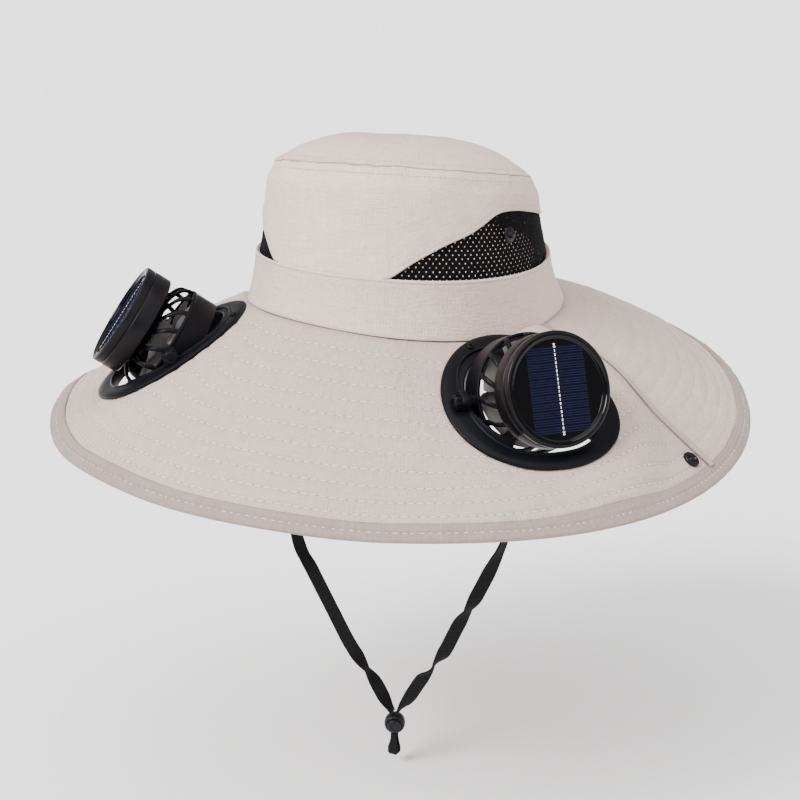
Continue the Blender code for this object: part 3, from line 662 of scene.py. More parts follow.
def scattered(name, template, frames):
    """One mesh holding a copy of a small template at each frame."""
    points = [tuple(vertex.co) for vertex in template.data.vertices]
    polygons = [tuple(polygon.vertices) for polygon in template.data.polygons]
    vertices = []
    faces = []
    for matrix in frames:
        start = len(vertices)
        vertices += [tuple(matrix @ Vector(point)) for point in points]
        faces += [tuple(start + corner for corner in polygon) for polygon in polygons]
    mesh = bpy.data.meshes.new(name)
    mesh.from_pydata(vertices, [], faces)
    mesh.shade_smooth()
    item = linked(name, mesh)
    bpy.data.objects.remove(template, do_unlink=True)
    return item


def axes_matrix(x_way, y_way, z_way, origin):
    matrix = Matrix((x_way, y_way, z_way)).transposed().to_4x4()
    matrix.translation = origin
    return matrix


def frame_matrix(origin, x_way, z_way):
    z_way = z_way.normalized()
    y_way = z_way.cross(x_way).normalized()
    return axes_matrix(y_way.cross(z_way), y_way, z_way, origin * MM)


def face_outward(item):
    select_only(item)
    bpy.ops.object.mode_set(mode="EDIT")
    bpy.ops.mesh.select_all(action="SELECT")
    bpy.ops.mesh.normals_make_consistent(inside=False)
    bpy.ops.object.mode_set(mode="OBJECT")


def dress(item, material, body, replaced=()):
    item.data.materials.clear()
    item.data.materials.append(material)
    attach(item, body)
    if replaced:
        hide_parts(*replaced)


def fitted(item, matrix, sharpest, material, body, replaced=()):
    """Seat a hard piece, shade it smooth up to its sharpest soft edge and dress it."""
    settle(item, matrix)
    smooth(item, sharpest)
    dress(item, material, body, replaced)


def sewn(item, thickness, material, node):
    """Give a laid panel its thickness and dress it as the cloth of one node."""
    thicken(item, thickness)
    smooth(item, 60.0)
    dress(item, material, "hat", (node,))


# Materials

SLUB_LENGTH = 0.009
SLUB_WIDTH = 0.0011
WAVE_PER_UNIT = 0.3183


def new_material(name, colour, roughness):
    material = bpy.data.materials.new(name)
    material.use_nodes = True
    nodes = material.node_tree.nodes
    shader = nodes["Principled BSDF"]
    shader.inputs["Base Color"].default_value = (*colour, 1.0)
    shader.inputs["Roughness"].default_value = roughness
    return material, nodes, material.node_tree.links, shader


def add_node(nodes, kind, **values):
    node = nodes.new(kind)
    for key, value in values.items():
        if key in node.inputs:
            node.inputs[key].default_value = value
        else:
            setattr(node, key, value)
    return node


def mix_colours(nodes, links, factor, low, high):
    """A colour between low and high, each a constant or another node's output."""
    mix = nodes.new("ShaderNodeMix")
    mix.data_type = "RGBA"
    links.new(factor, mix.inputs[0])
    for socket, value in ((mix.inputs[6], low), (mix.inputs[7], high)):
        if hasattr(value, "is_output"):
            links.new(value, socket)
        else:
            socket.default_value = (*value, 1.0)
    return mix.outputs[2]


def bumped(nodes, links, shader, heights):
    """Chain bumps of falling size: each row is a height output, its distance and strength."""
    normal = None
    for height, distance, strength in heights:
        node = add_node(nodes, "ShaderNodeBump", Strength=strength, Distance=distance)
        links.new(height, node.inputs["Height"])
        if normal is not None:
            links.new(normal, node.inputs["Normal"])
        normal = node.outputs["Normal"]
    links.new(normal, shader.inputs["Normal"])


def scaled(colour, factor):
    return tuple(channel * factor for channel in colour)


def stretched(nodes, links, coordinates, along, across):
    mapping = nodes.new("ShaderNodeMapping")
    mapping.inputs["Scale"].default_value = (along, across, 1.0)
    links.new(coordinates, mapping.inputs["Vector"])
    return mapping.outputs["Vector"]


def noisy(nodes, links, coordinates, scale, detail, roughness=0.5):
    node = add_node(nodes, "ShaderNodeTexNoise", Scale=scale, Detail=detail, Roughness=roughness)
    links.new(coordinates, node.inputs["Vector"])
    return node.outputs["Fac"]


def streaks(nodes, links, coordinates, along, across):
    """Noise drawn out into threads, on a mapping of its own."""
    return noisy(nodes, links, stretched(nodes, links, coordinates, along, across), 1.0, 2.0, 0.6)


def ranged(nodes, links, value, low, high, to_low=0.0, to_high=1.0):
    node = nodes.new("ShaderNodeMapRange")
    node.inputs["From Min"].default_value = low
    node.inputs["From Max"].default_value = high
    node.inputs["To Min"].default_value = to_low
    node.inputs["To Max"].default_value = to_high
    links.new(value, node.inputs["Value"])
    return node.outputs["Result"]


def averaged(nodes, links, first, second):
    node = add_node(nodes, "ShaderNodeMath", operation="MULTIPLY_ADD")
    node.inputs[1].default_value = 0.5
    half = add_node(nodes, "ShaderNodeMath", operation="MULTIPLY")
    half.inputs[1].default_value = 0.5
    links.new(second, half.inputs[0])
    links.new(first, node.inputs[0])
    links.new(half.outputs[0], node.inputs[2])
    return node.outputs[0]


def cloth_material(name, colour, length, width, thread):
    """Plain-woven cotton on the piece's own UV map, with slubs, soft creases and painted shade along
    seams, folds and stitching, taken from the 'seam' attribute.
    """
    material, nodes, links, shader = new_material(name, colour, 0.9)
    shader.inputs["Sheen Weight"].default_value = 0.08
    shader.inputs["Sheen Roughness"].default_value = 0.6
    shader.inputs["Specular IOR Level"].default_value = 0.2
    coordinates = nodes.new("ShaderNodeTexCoord")
    flat = coordinates.outputs["UV"]
    threads = stretched(nodes, links, flat, length / thread, width / thread)
    waves = []
    for direction in ("X", "Y"):
        wave = add_node(nodes, "ShaderNodeTexWave", bands_direction=direction, Scale=WAVE_PER_UNIT,
                        Distortion=0.7, Detail=1.0)
        wave.inputs["Detail Scale"].default_value = 0.6
        links.new(threads, wave.inputs["Vector"])
        waves.append(wave.outputs["Fac"])
    weave = averaged(nodes, links, waves[0], waves[1])
    warp = streaks(nodes, links, flat, length / SLUB_LENGTH, width / SLUB_WIDTH)
    weft = streaks(nodes, links, flat, length / SLUB_WIDTH, width / SLUB_LENGTH)
    slub = ranged(nodes, links, averaged(nodes, links, warp, weft), 0.36, 0.64)
    stain = noisy(nodes, links, coordinates.outputs["Object"], 30.0, 4.0, 0.6)
    crease = noisy(nodes, links, coordinates.outputs["Object"], 38.0, 5.0, 0.55)
    yarn = mix_colours(nodes, links, weave, scaled(colour, 0.76), scaled(colour, 1.18))
    slubs = mix_colours(nodes, links, slub, scaled(colour, 0.8), scaled(colour, 1.17))
    base = nodes.new("ShaderNodeMix")
    base.data_type = "RGBA"
    base.inputs[0].default_value = 0.55
    links.new(yarn, base.inputs[6])
    links.new(slubs, base.inputs[7])
    soil = ranged(nodes, links, stain, 0.35, 0.72, 0.0, 0.55)
    warm = (colour[0] * 0.95, colour[1] * 0.9, colour[2] * 0.88)
    soiled = mix_colours(nodes, links, soil, base.outputs[2], warm)
    # Painted shade: the 'seam' attribute mixes the cloth towards a darker tone along seams, folds and
    # stitching.
    seam = add_node(nodes, "ShaderNodeAttribute", attribute_name="seam")
    final = mix_colours(nodes, links, seam.outputs["Fac"], soiled, scaled(colour, 0.62))
    links.new(final, shader.inputs["Base Color"])
    bumped(nodes, links, shader, (
        (crease, 0.005, 0.5),
        (slub, 0.00035, 0.7),
        (weave, 0.00028, 0.7),
    ))
    return material


def cotton(name, settings):
    tone, length, width = COTTONS[name]
    return cloth_material(name, scaled(tuple(settings.cloth_colour), tone), length, width, settings.thread)


def thread_material(name, colour):
    material, nodes, links, shader = new_material(name, colour, 0.7)
    shader.inputs["Sheen Weight"].default_value = 0.2
    coordinates = nodes.new("ShaderNodeTexCoord")
    twist = noisy(nodes, links, coordinates.outputs["Object"], 1800.0, 2.0)
    tone = mix_colours(nodes, links, twist, scaled(colour, 0.8), scaled(colour, 1.15))
    links.new(tone, shader.inputs["Base Color"])
    bumped(nodes, links, shader, ((twist, 0.0001, 0.6),))
    return material


def plastic_material(name, colour, roughness, grain, coat=0.0, gloss=0.35):
    """Moulded plastic: fine spark-eroded grain, faint flow marks and rubbed patches."""
    material, nodes, links, shader = new_material(name, colour, roughness)
    shader.inputs["Specular IOR Level"].default_value = gloss
    shader.inputs["Coat Weight"].default_value = coat
    shader.inputs["Coat Roughness"].default_value = 0.06
    coordinates = nodes.new("ShaderNodeTexCoord")
    fine = noisy(nodes, links, coordinates.outputs["Object"], 1600.0, 2.0)
    broad = noisy(nodes, links, coordinates.outputs["Object"], 45.0, 4.0, 0.6)
    tone = mix_colours(nodes, links, broad, scaled(colour, 0.8), scaled(colour, 1.25))
    links.new(tone, shader.inputs["Base Color"])
    rubbed = ranged(nodes, links, broad, 0.0, 1.0, max(roughness - 0.08, 0.02), roughness + 0.1)
    links.new(rubbed, shader.inputs["Roughness"])
    bumped(nodes, links, shader, ((broad, 0.0001, 0.2), (fine, 0.00005, grain)))
    return material


def webbing_material(name, colour, length, width, thread):
    """Black webbing: crosswise ribs with a finer thread between them."""
    material, nodes, links, shader = new_material(name, colour, 0.75)
    shader.inputs["Sheen Weight"].default_value = 0.02
    shader.inputs["Specular IOR Level"].default_value = 0.15
    coordinates = nodes.new("ShaderNodeTexCoord")
    threads = stretched(nodes, links, coordinates.outputs["UV"], length / thread, width / thread)
    ribs = add_node(nodes, "ShaderNodeTexWave", bands_direction="X", Scale=WAVE_PER_UNIT, Distortion=0.8)
    cross = add_node(nodes, "ShaderNodeTexWave", bands_direction="DIAGONAL", Scale=0.22, Distortion=0.4)
    for node in (ribs, cross):
        links.new(threads, node.inputs["Vector"])
    weave = add_node(nodes, "ShaderNodeMath", operation="MULTIPLY")
    links.new(ribs.outputs["Fac"], weave.inputs[0])
    links.new(cross.outputs["Fac"], weave.inputs[1])
    tone = mix_colours(nodes, links, weave.outputs[0], scaled(colour, 0.7), scaled(colour, 1.6))
    links.new(tone, shader.inputs["Base Color"])
    bumped(nodes, links, shader, ((weave.outputs[0], 0.00022, 0.6),))
    return material


def cell_material(name, colour):
    """Dark blue cell strips: fine printed lines across each strip's own UV map."""
    material, nodes, links, shader = new_material(name, colour, 0.3)
    shader.inputs["Specular IOR Level"].default_value = 0.0
    coordinates = nodes.new("ShaderNodeTexCoord")
    lines = add_node(nodes, "ShaderNodeTexWave", bands_direction="Y", Scale=0.955, Distortion=0.0)
    lines.inputs["Phase Offset"].default_value = pi * 0.5
    links.new(coordinates.outputs["UV"], lines.inputs["Vector"])
    edge = ranged(nodes, links, lines.outputs["Fac"], 0.1, 0.4)
    mottle = noisy(nodes, links, coordinates.outputs["Object"], 300.0, 3.0)
    blue = mix_colours(nodes, links, mottle, scaled(colour, 0.7), scaled(colour, 1.3))
    tone = mix_colours(nodes, links, edge, scaled(colour, 0.16), blue)
    links.new(tone, shader.inputs["Base Color"])
    return material


def flat_material(name, colour, roughness):
    material, nodes, links, shader = new_material(name, colour, roughness)
    coordinates = nodes.new("ShaderNodeTexCoord")
    mottle = noisy(nodes, links, coordinates.outputs["Object"], 700.0, 2.0)
    tone = mix_colours(nodes, links, mottle, scaled(colour, 0.85), scaled(colour, 1.1))
    links.new(tone, shader.inputs["Base Color"])
    return material


# Stitching

def stitch_template(length, width, height):
    item = started("stitch", bpy.ops.mesh.primitive_uv_sphere_add, segments=6, ring_count=4,
                   radius=0.5)
    item.data.transform(Matrix.Rotation(pi * 0.5, 4, "Y"))
    item.data.transform(Matrix.Diagonal((length * MM, width * MM, height * MM, 1.0)))
    return item


# A flat dark disc of painted shade, set in the gap where a needle hole would be.
def hole_shade_template(length, width):
    item = started("needle_hole_shade", bpy.ops.mesh.primitive_circle_add, vertices=6, radius=0.5,
                   fill_type="NGON")
    item.data.transform(Matrix.Diagonal((length * MM, width * MM, 1.0, 1.0)))
    return item


def stitch_frames(rows, pitch, first):
    """Places one pitch apart along each row of points with its normals."""
    frames = []
    for row in rows:
        travelled = 0.0
        due = pitch * first
        for (low, low_normal), (high, high_normal) in zip(row, row[1:]):
            step = (high - low).length
            while travelled + step >= due:
                share = (due - travelled) / step
                point = low.lerp(high, share)
                normal = low_normal.lerp(high_normal, share).normalized()
                frames.append(frame_matrix(point, (high - low).normalized(), normal))
                due += pitch
            travelled += step
    return frames


def sew(name, rows, thread, shade, length=STITCH_LENGTH, width=STITCH_WIDTH, height=STITCH_HEIGHT,
        pitch=STITCH_PITCH):
    """Single stitches laid end to end, and dark discs of painted shade for the needle holes between them.
    """
    stitches = scattered(name, stitch_template(length, width, height), stitch_frames(rows, pitch, 0.5))
    gap = max(pitch - length, 0.7)
    holes = scattered(name + "_holes", hole_shade_template(gap, width * 0.8), stitch_frames(rows, pitch, 1.0))
    dress(stitches, thread, "hat")
    dress(holes, shade, "hat")


def closed_row(steps, place):
    """A row once round the head: place(angle) gives each point with its normal."""
    return [place(2.0 * pi * step / steps) for step in range(steps + 1)]


# Crown and band

def net_height(angle):
    degrees = abs(angle_apart(angle, 0.0)) * 180.0 / pi
    spread = (-2.4, -1.2, 0.0, 1.2, 2.4)
    return sum(table_value(NET_EDGE, degrees + step, 1) for step in spread) / len(spread)


def crown_cloth(angle, height, depth=0.0):
    """Crown surface with its small wrinkles, the top lapping over the wall at the seam."""
    point = crown_surface(angle, height)
    normal = crown_normal(angle, height)
    wrinkle = ripple(point, 30.0, 3) * 0.9 + ripple(point, 12.0, 4) * 0.3
    if height >= 0.0:
        wall = height <= 1.0
        away = (1.0 - height) * WALL_CLOTH if wall else (height - 1.0) * TOP_CLOTH
        pucker = ripple((point.x, point.y, 0.0), 5.0, 6) * exp(-(away / 6.0) ** 2)
        wrinkle += pucker * 0.8
        if wall:
            wrinkle -= 0.28 * exp(-(away / 0.8) ** 2)
        else:
            wrinkle += 0.1 * exp(-(away / 2.4) ** 2) - 0.3 * exp(-((away - 3.4) / 0.7) ** 2)
    return point + normal * (wrinkle - depth)


def paint_seam_shade(item, painted_shade):
    """Store the painted shade of each point, from its u and v: how much darker the cloth is painted there,
    near seams, folds and stitching.
    """
    marks = item.data.attributes.new("seam", "FLOAT", "POINT")
    layer = item.data.uv_layers.active.data
    for loop in item.data.loops:
        u, v = layer[loop.index].uv
        marks.data[loop.vertex_index].value = min(max(painted_shade(u, v), 0.0), 1.0)


def close_ends(item):
    """Fill the open ends of a piece made by rolling up a grid, and point its faces outward."""
    select_only(item)
    bpy.ops.object.mode_set(mode="EDIT")
    bpy.ops.mesh.select_all(action="DESELECT")
    bpy.ops.mesh.select_mode(type="EDGE")
    bpy.ops.mesh.select_non_manifold()
    bpy.ops.mesh.fill_holes(sides=0)
    bpy.ops.mesh.select_all(action="SELECT")
    bpy.ops.mesh.normals_make_consistent(inside=False)
    bpy.ops.mesh.select_mode(type="VERT")
    bpy.ops.object.mode_set(mode="OBJECT")


def tube(name, points, radius):
    """A round cord laid along a list of points and normals."""
    def place(u, v):
        index = round(u * (len(points) - 1))
        point, normal = points[index]
        before = points[max(index - 1, 0)][0]
        after = points[min(index + 1, len(points) - 1)][0]
        along = (after - before).normalized()
        across = along.cross(normal).normalized()
        turn = 2.0 * pi * v
        return point + (normal * cos(turn) + across * sin(turn)) * radius

    item = laid_grid(name, len(points) - 1, 8, place, True)
    close_ends(item)
    smooth(item, 60.0)
    return item


def build_crown(settings):
    top_cloth = cotton("crown top cotton", settings)
    side_cloth = cotton("crown wall cotton", settings)
    band_cloth = cotton("band cotton", settings)

    def top_place(u, v):
        return crown_cloth(2.0 * pi * u, 1.003 + 0.994 * v)

    rings = [0.0, 0.008, 0.018, 0.03, 0.04, 0.048, 0.056, 0.07, 0.09, 0.115, 0.145]
    rings += [0.18 + 0.82 * step / 22 for step in range(23)]
    top = laid_grid("crown_top_cloth", 220, rings, top_place, True)
    pole = top_place(0.0, 1.0) * MM
    select_only(top)
    bpy.ops.object.mode_set(mode="EDIT")
    bpy.ops.mesh.select_all(action="DESELECT")
    bpy.ops.object.mode_set(mode="OBJECT")
    for vertex in top.data.vertices:
        vertex.select = (vertex.co - pole).length < 0.0009
    bpy.ops.object.mode_set(mode="EDIT")
    bpy.ops.mesh.merge(type="CENTER")
    bpy.ops.object.mode_set(mode="OBJECT")
    # Painted shade along the top seam, and a shadow line painted 3.4 mm up from it where the top laps
    # over.
    paint_seam_shade(top, lambda u, v: 0.3 * exp(-(v * TOP_CLOTH / 0.6) ** 2)
               + 0.25 * exp(-((v * TOP_CLOTH - 3.4) / 0.7) ** 2))
    sewn(top, 1.5, top_cloth, "crown_top")

    def wall_place(u, v):
        angle = 2.0 * pi * u
        low = net_height(angle)
        inset = 0.0
        if low < 0.02:
            low = -0.1
            inset = 0.4
        return crown_cloth(angle, low + (0.997 - low) * v, inset)

    levels = [0.92 * step / 30 for step in range(31)]
    levels += [0.94, 0.955, 0.968, 0.978, 0.986, 0.993, 1.0]
    wall = laid_grid("crown_wall_cloth", 260, levels, wall_place, True)
    # Painted shade on the wall just under the top seam.
    paint_seam_shade(wall, lambda u, v: 0.35 * exp(-((1.0 - v) * WALL_CLOTH / 0.8) ** 2))
    sewn(wall, 1.3, side_cloth, "crown_side")

    def band_place(u, v):
        angle = 2.0 * pi * u
        height = -0.992 + 0.995 * v
        point = crown_surface(angle, height)
        from_top = (1.0 - v) * BAND_CLOTH
        roll = 1.0 - 0.8 * exp(-(from_top / 0.5) ** 2)
        roll -= 0.4 * exp(-((from_top - BAND_STITCHES_DOWN) / 0.6) ** 2)
        roll += ripple(point, 34.0, 7) * 0.4 + ripple(point, 9.0, 11) * 0.12
        return point + crown_normal(angle, height) * roll

    levels = [0.86 * step / 26 for step in range(27)]
    levels += [0.88, 0.9, 0.912, 0.922, 0.93, 0.938, 0.948, 0.96, 0.972, 0.983, 0.992, 1.0]
    band = laid_grid("crown_band_cloth", 240, levels, band_place, True)
    # Painted shade along the band's stitching, and a dark line painted where the band meets the brim.
    paint_seam_shade(band, lambda u, v: 0.45 * exp(-(((1.0 - v) * BAND_CLOTH - BAND_STITCHES_DOWN) / 0.6) ** 2)
               + 0.9 * exp(-(v * BAND_CLOTH) ** 2))
    sewn(band, 2.2, band_cloth, "crown_band")

    edge = []
    first = radians(NET_TIP_ANGLE - 1.0)
    for step in range(401):
        angle = first + (2.0 * pi - 2.0 * first) * step / 400
        height = max(net_height(angle), 0.0)
        edge.append((crown_cloth(angle, height, 0.25), crown_normal(angle, height)))
    piping = tube("net_edge_piping", edge, 0.85)
    dress(piping, cotton("piping cotton", settings), "hat")

    thread = thread_material("crown thread", scaled(tuple(settings.thread_colour), 0.9))
    shade = flat_material("crown needle hole shade", scaled(tuple(settings.cloth_colour), HOLE_SHADE_TONE), 0.9)
    rows = [closed_row(360, lambda angle, height=height: (crown_cloth(angle, height, -0.05),
                                                          crown_normal(angle, height)))
            for height in (1.043, 0.925)]
    band_share = 1.0 - BAND_STITCHES_DOWN / BAND_CLOTH
    rows.append(closed_row(360, lambda angle: (band_place(angle / (2.0 * pi), band_share),
                                               crown_normal(angle, -0.07))))
    sew("crown_stitches", rows, thread, shade, 2.2, 0.42, 0.3, 3.1)
    above = Vector((0.0, 0.0, 2.6))
    edge_row = [(point + above + normal * 0.3, normal) for point, normal in edge]
    sew("net_edge_stitches", [edge_row[8:-8]], thread, shade, 2.2, 0.42, 0.3, 3.1)


def net_angle(along):
    """Angle round the head at a distance from the back of the crown, along its wall."""
    return pi + along / NET_WALL_RADIUS


def build_net(settings):
    """Diamond net: a grid whose cells are inset and opened, laid round the crown."""
    pitch = settings.net_pitch / MM
    pace = pitch * HALF_DIAGONAL
    tip = radians(NET_TIP_ANGLE + 0.5)
    reach = int(NET_HALF_TURN / pace)
    corners = {}
    vertices = []
    faces = []

    def corner(column, row):
        key = (column, row)
        if key not in corners:
            corners[key] = len(vertices)
            vertices.append((column * pace * MM, row * pace * MM, 0.0))
        return corners[key]

    def inside(column, row):
        angle = net_angle(column * pace)
        height = row * pace / CROWN_WALL_LENGTH
        if abs(angle_apart(angle, 0.0)) < tip:
            return False
        return NET_FOOT < height < net_height(angle) + NET_OVERLAP

    for column in range(-reach, reach + 1):
        for row in range(-4, int(NET_TALLEST / pace)):
            if (column + row) % 2 == 0 and inside(column, row):
                faces.append((corner(column - 1, row), corner(column, row - 1),
                              corner(column + 1, row), corner(column, row + 1)))
    mesh = bpy.data.meshes.new("net_panel")
    mesh.from_pydata(vertices, [], faces)
    item = linked("net_panel", mesh)
    select_only(item)
    bpy.ops.object.mode_set(mode="EDIT")
    bpy.ops.mesh.select_all(action="SELECT")
    bpy.ops.mesh.inset(thickness=pitch * NET_YARN * MM, use_individual=True)
    bpy.ops.mesh.delete(type="ONLY_FACE")
    bpy.ops.object.mode_set(mode="OBJECT")
    # Unseeded, noise_vector would start from the clock and differ each run
    noise.seed_set(NET_SEED)
    for vertex in item.data.vertices:
        angle = net_angle(vertex.co.x / MM)
        height = min(max(vertex.co.y / MM / CROWN_WALL_LENGTH, -0.085), 0.8)
        point = crown_surface(angle, height) - crown_normal(angle, height) * NET_DEPTH
        drift = noise.noise_vector(point / 2.1) * NET_DRIFT
        vertex.co = (point + drift) * MM
    thicken(item, 0.5)
    rounder = item.modifiers.new("round yarn", "SUBSURF")
    rounder.levels = 1
    rounder.render_levels = 1
    apply_all(item)
    bpy.ops.object.shade_smooth()
    material = plastic_material("net yarn", tuple(settings.net_colour), 0.8, 0.5, 0.0, 0.04)
    dress(item, material, "hat", ("mesh_panel",))


# Brim

def hole_cutter(row):
    item = started("hole_cutter", bpy.ops.mesh.primitive_cylinder_add, vertices=64, radius=1.0,
                   depth=2.0)
    half_x, half_y = (half + HOLE_CLEARANCE for half in FLANGE_HOLE)
    for vertex in item.data.vertices:
        angle = atan2(vertex.co.y, vertex.co.x)
        x, y = oval(half_x, half_y, angle, FLANGE_SQUARENESS)
        vertex.co = Vector((x, y, vertex.co.z * 16.0)) * MM
    item.matrix_world = pod_matrix(row)
    bpy.context.view_layer.update()
    return item


def oval(half_x, half_y, angle, squareness):
    power = 2.0 / squareness
    x = half_x * copysign(abs(cos(angle)) ** power, cos(angle))
    y = half_y * copysign(abs(sin(angle)) ** power, sin(angle))
    return x, y


def pod_matrix(row):
    centre, downhill, across, normal = pod_frame(row)[:4]
    turn = Matrix.Rotation(radians(row[6]), 4, "Z")
    return axes_matrix(downhill, across, normal, centre * MM) @ turn


def tilt_matrix(row):
    lift = Matrix.Translation((0.0, 0.0, PIVOT_HEIGHT * MM))
    return pod_matrix(row) @ lift @ Matrix.Rotation(radians(row[7]), 4, "Y")


BRIM_INNER = -1.8 / BRIM_REACH
BRIM_OUTER = 1.0 - (HEM_WIDTH - 1.5) / BRIM_REACH


def brim_place(start, end, lap=0.0):
    """Lay a panel from start to end; lap is how far it runs on under its neighbour, in radians."""
    def place(u, v):
        angle = end + (start - end) * u
        share = BRIM_INNER + (BRIM_OUTER - BRIM_INNER) * v
        held = min(max(angle, start + lap), end - lap)
        point, rise = brim_cloth(held, share)
        if held != angle:
            point = brim_surface(angle, share)
            rise -= 0.7
        rise -= 0.5 * smooth_step(0.925, 0.935, share)
        return point + brim_normal(angle, share) * rise

    return place


def brim_levels():
    """Every v of the brim's grid, closer together beside each row of stitching."""
    shares = [BRIM_INNER, 0.0]
    rows = (0.0,) + BRIM_STITCH_ROWS
    for low, high in zip(rows, rows[1:]):
        for place in (0.09, 0.24, 0.42, 0.6, 0.78, 0.92, 1.0):
            shares.append(low + (high - low) * place)
    shares += [0.902, 0.913, 0.925, 0.935, BRIM_OUTER]
    return [(share - BRIM_INNER) / (BRIM_OUTER - BRIM_INNER) for share in shares]


def panel_columns(count):
    """Every u of the back panel, closer together beside the side seams."""
    near = [step * 0.0014 for step in range(14)]
    rest = 1.0 - 2.0 * 0.0196
    middle = [0.0196 + rest * step / count for step in range(count + 1)]
    return near + middle + [1.0 - place for place in reversed(near)]


# Painted shade: the cloth is painted darker along each row of stitching and where the brim meets the
# crown.
def stitch_row_shade(rows, strength):
    def painted_shade(u, v):
        share = BRIM_INNER + (BRIM_OUTER - BRIM_INNER) * v
        away = min(abs(share - row) for row in rows) * BRIM_REACH
        crown = exp(-((share - 0.004) * BRIM_REACH / 3.0) ** 2)
        return strength * exp(-(away / 0.75) ** 2) + 0.55 * crown

    return painted_shade


def stitch_rows_on_brim(start, end, shares, clear):
    rows = []
    steps = 300
    for share in shares:
        row = []
        for step in range(steps + 1):
            angle = start + (end - start) * step / steps
            point, rise = brim_cloth(angle, share)
            normal = brim_normal(angle, share)
            if clear and pod_distance(point) < 50.0:
                rows.append(row)
                row = []
                continue
            row.append((point + normal * (rise + 0.12), normal))
        rows.append(row)
    return [row for row in rows if len(row) > 1]


def hem_pucker(point):
    return ripple(point, 6.0, 8) * 0.34 + ripple(point, 19.0, 9) * 0.35


def build_hem(hem_cloth):
    def hem_place(u, v):
        angle = -2.0 * pi * u
        turn = 2.0 * pi * v
        flat = HEM_WIDTH * 0.5
        across = copysign(abs(cos(turn)) ** 0.4, cos(turn))
        up = copysign(abs(sin(turn)) ** 0.6, sin(turn))
        share = 1.0 - (flat - flat * across) / BRIM_REACH
        point = brim_surface(angle, share)
        normal = brim_normal(angle, share)
        draw = 0.5 * exp(-((across - 0.1) / 0.16) ** 2) if up > 0.0 else 0.0
        rise = up * HEM_THICKNESS * 0.5 - 0.6 + hem_pucker(point) * max(up, -0.3) - draw
        return point + normal * rise

    hem = laid_grid("brim_hem_cloth", 560, 32, hem_place, True)
    face_outward(hem)
    # Painted shade along the binding's inner edge and, fainter, along its stitch line.
    paint_seam_shade(hem, lambda u, v: exp(-((v - 0.475) / 0.03) ** 2)
               + 0.35 * exp(-((v - 0.245) / 0.012) ** 2))
    smooth(hem, 70.0)
    dress(hem, hem_cloth, "hat", ("brim_hem",))


def build_brim(settings):
    front_cloth = cotton("brim cotton", settings)
    back_cloth = cotton("back brim cotton", settings)
    hem_cloth = cotton("hem binding cotton", settings)
    seam = radians(SIDE_SEAM_ANGLE)
    rim_row = BRIM_STITCH_ROWS[-1:]
    back_rows = BRIM_STITCH_ROWS[:5] + rim_row

    lap = 0.011
    place = brim_place(-seam - lap, seam + lap, lap)
    share = lap / (2.0 * seam + 2.0 * lap)
    columns = [0.0, share * 0.95] + [share + (1.0 - 2.0 * share) * step / 250 for step in range(251)]
    columns += [1.0 - share * 0.95, 1.0]
    front = laid_grid("brim_front_cloth", columns, brim_levels(), place)
    paint_seam_shade(front, stitch_row_shade(BRIM_STITCH_ROWS, 0.24))
    thicken(front, 1.7)
    for row in PODS:
        cutter = hole_cutter(row)
        cut = front.modifiers.new("pod hole", "BOOLEAN")
        cut.operation = "DIFFERENCE"
        cut.solver = "EXACT"
        cut.object = cutter
        apply_all(front)
        bpy.data.objects.remove(cutter, do_unlink=True)
    smooth(front, 60.0)
    dress(front, front_cloth, "hat", ("brim_front",))

    place = brim_place(seam + 0.001, 2.0 * pi - seam - 0.001)
    back = laid_grid("brim_back_cloth", panel_columns(200), brim_levels(), place)
    stitch_rows_shade = stitch_row_shade(back_rows, 0.22)
    back_degrees = 360.0 - 2.0 * SIDE_SEAM_ANGLE

    # Painted shade on the back panel: along its stitching, over the folded strip at each side seam, and
    # dark lines painted at the fold's edge and at the seam itself.
    def back_panel_shade(u, v):
        share = BRIM_INNER + (BRIM_OUTER - BRIM_INNER) * v
        edge = min(u, 1.0 - u) * back_degrees * (OPENING_HALF_WIDTH + BRIM_REACH * share) * pi / 180.0
        line = exp(-((edge - SEAM_FOLD_WIDTH - 0.5) / 0.8) ** 2) + exp(-(edge / 0.7) ** 2)
        return max(stitch_rows_shade(u, v), line, 0.8 if edge < SEAM_FOLD_WIDTH else 0.0)

    paint_seam_shade(back, back_panel_shade)
    sewn(back, 1.7, back_cloth, "brim_back")
    build_hem(hem_cloth)

    thread = thread_material("brim thread", tuple(settings.thread_colour))
    shade = flat_material("brim needle hole shade", scaled(tuple(settings.cloth_colour), HOLE_SHADE_TONE), 0.9)
    rows = stitch_rows_on_brim(-seam + 0.02, seam - 0.02, BRIM_STITCH_ROWS, True)
    sew("brim_front_stitches", rows, thread, shade)
    rows = stitch_rows_on_brim(seam + 0.07, 2.0 * pi - seam - 0.07, back_rows, False)
    sew("brim_back_stitches", rows, thread, shade, 3.4, 0.5, 0.34)
    share = 1.0 - HEM_WIDTH * 0.45 / BRIM_REACH

    def on_hem(angle):
        normal = brim_normal(angle, share)
        point = brim_surface(angle, share)
        return point + normal * (0.55 + hem_pucker(point)), normal

    sew("hem_stitches", [closed_row(720, on_hem)], thread, shade, 3.5, 0.7, 0.5, 4.4)
    edge_rows = []
    for way in (-1.0, 1.0):
        row = []
        for step in range(61):
            share = 0.12 + 0.8 * step / 60
            reach = (OPENING_HALF_WIDTH + BRIM_REACH * share) * pi / 180.0
            angle = way * radians(SIDE_SEAM_ANGLE + (SEAM_FOLD_WIDTH + 1.2) / reach)
            point, rise = brim_cloth(angle, share)
            normal = brim_normal(angle, share)
            row.append((point + normal * (rise + 0.1), normal))
        edge_rows.append(row)
    sew("side_seam_stitches", edge_rows, thread, shade, 2.6, 0.55, 0.4, 3.4)


# Fan pods

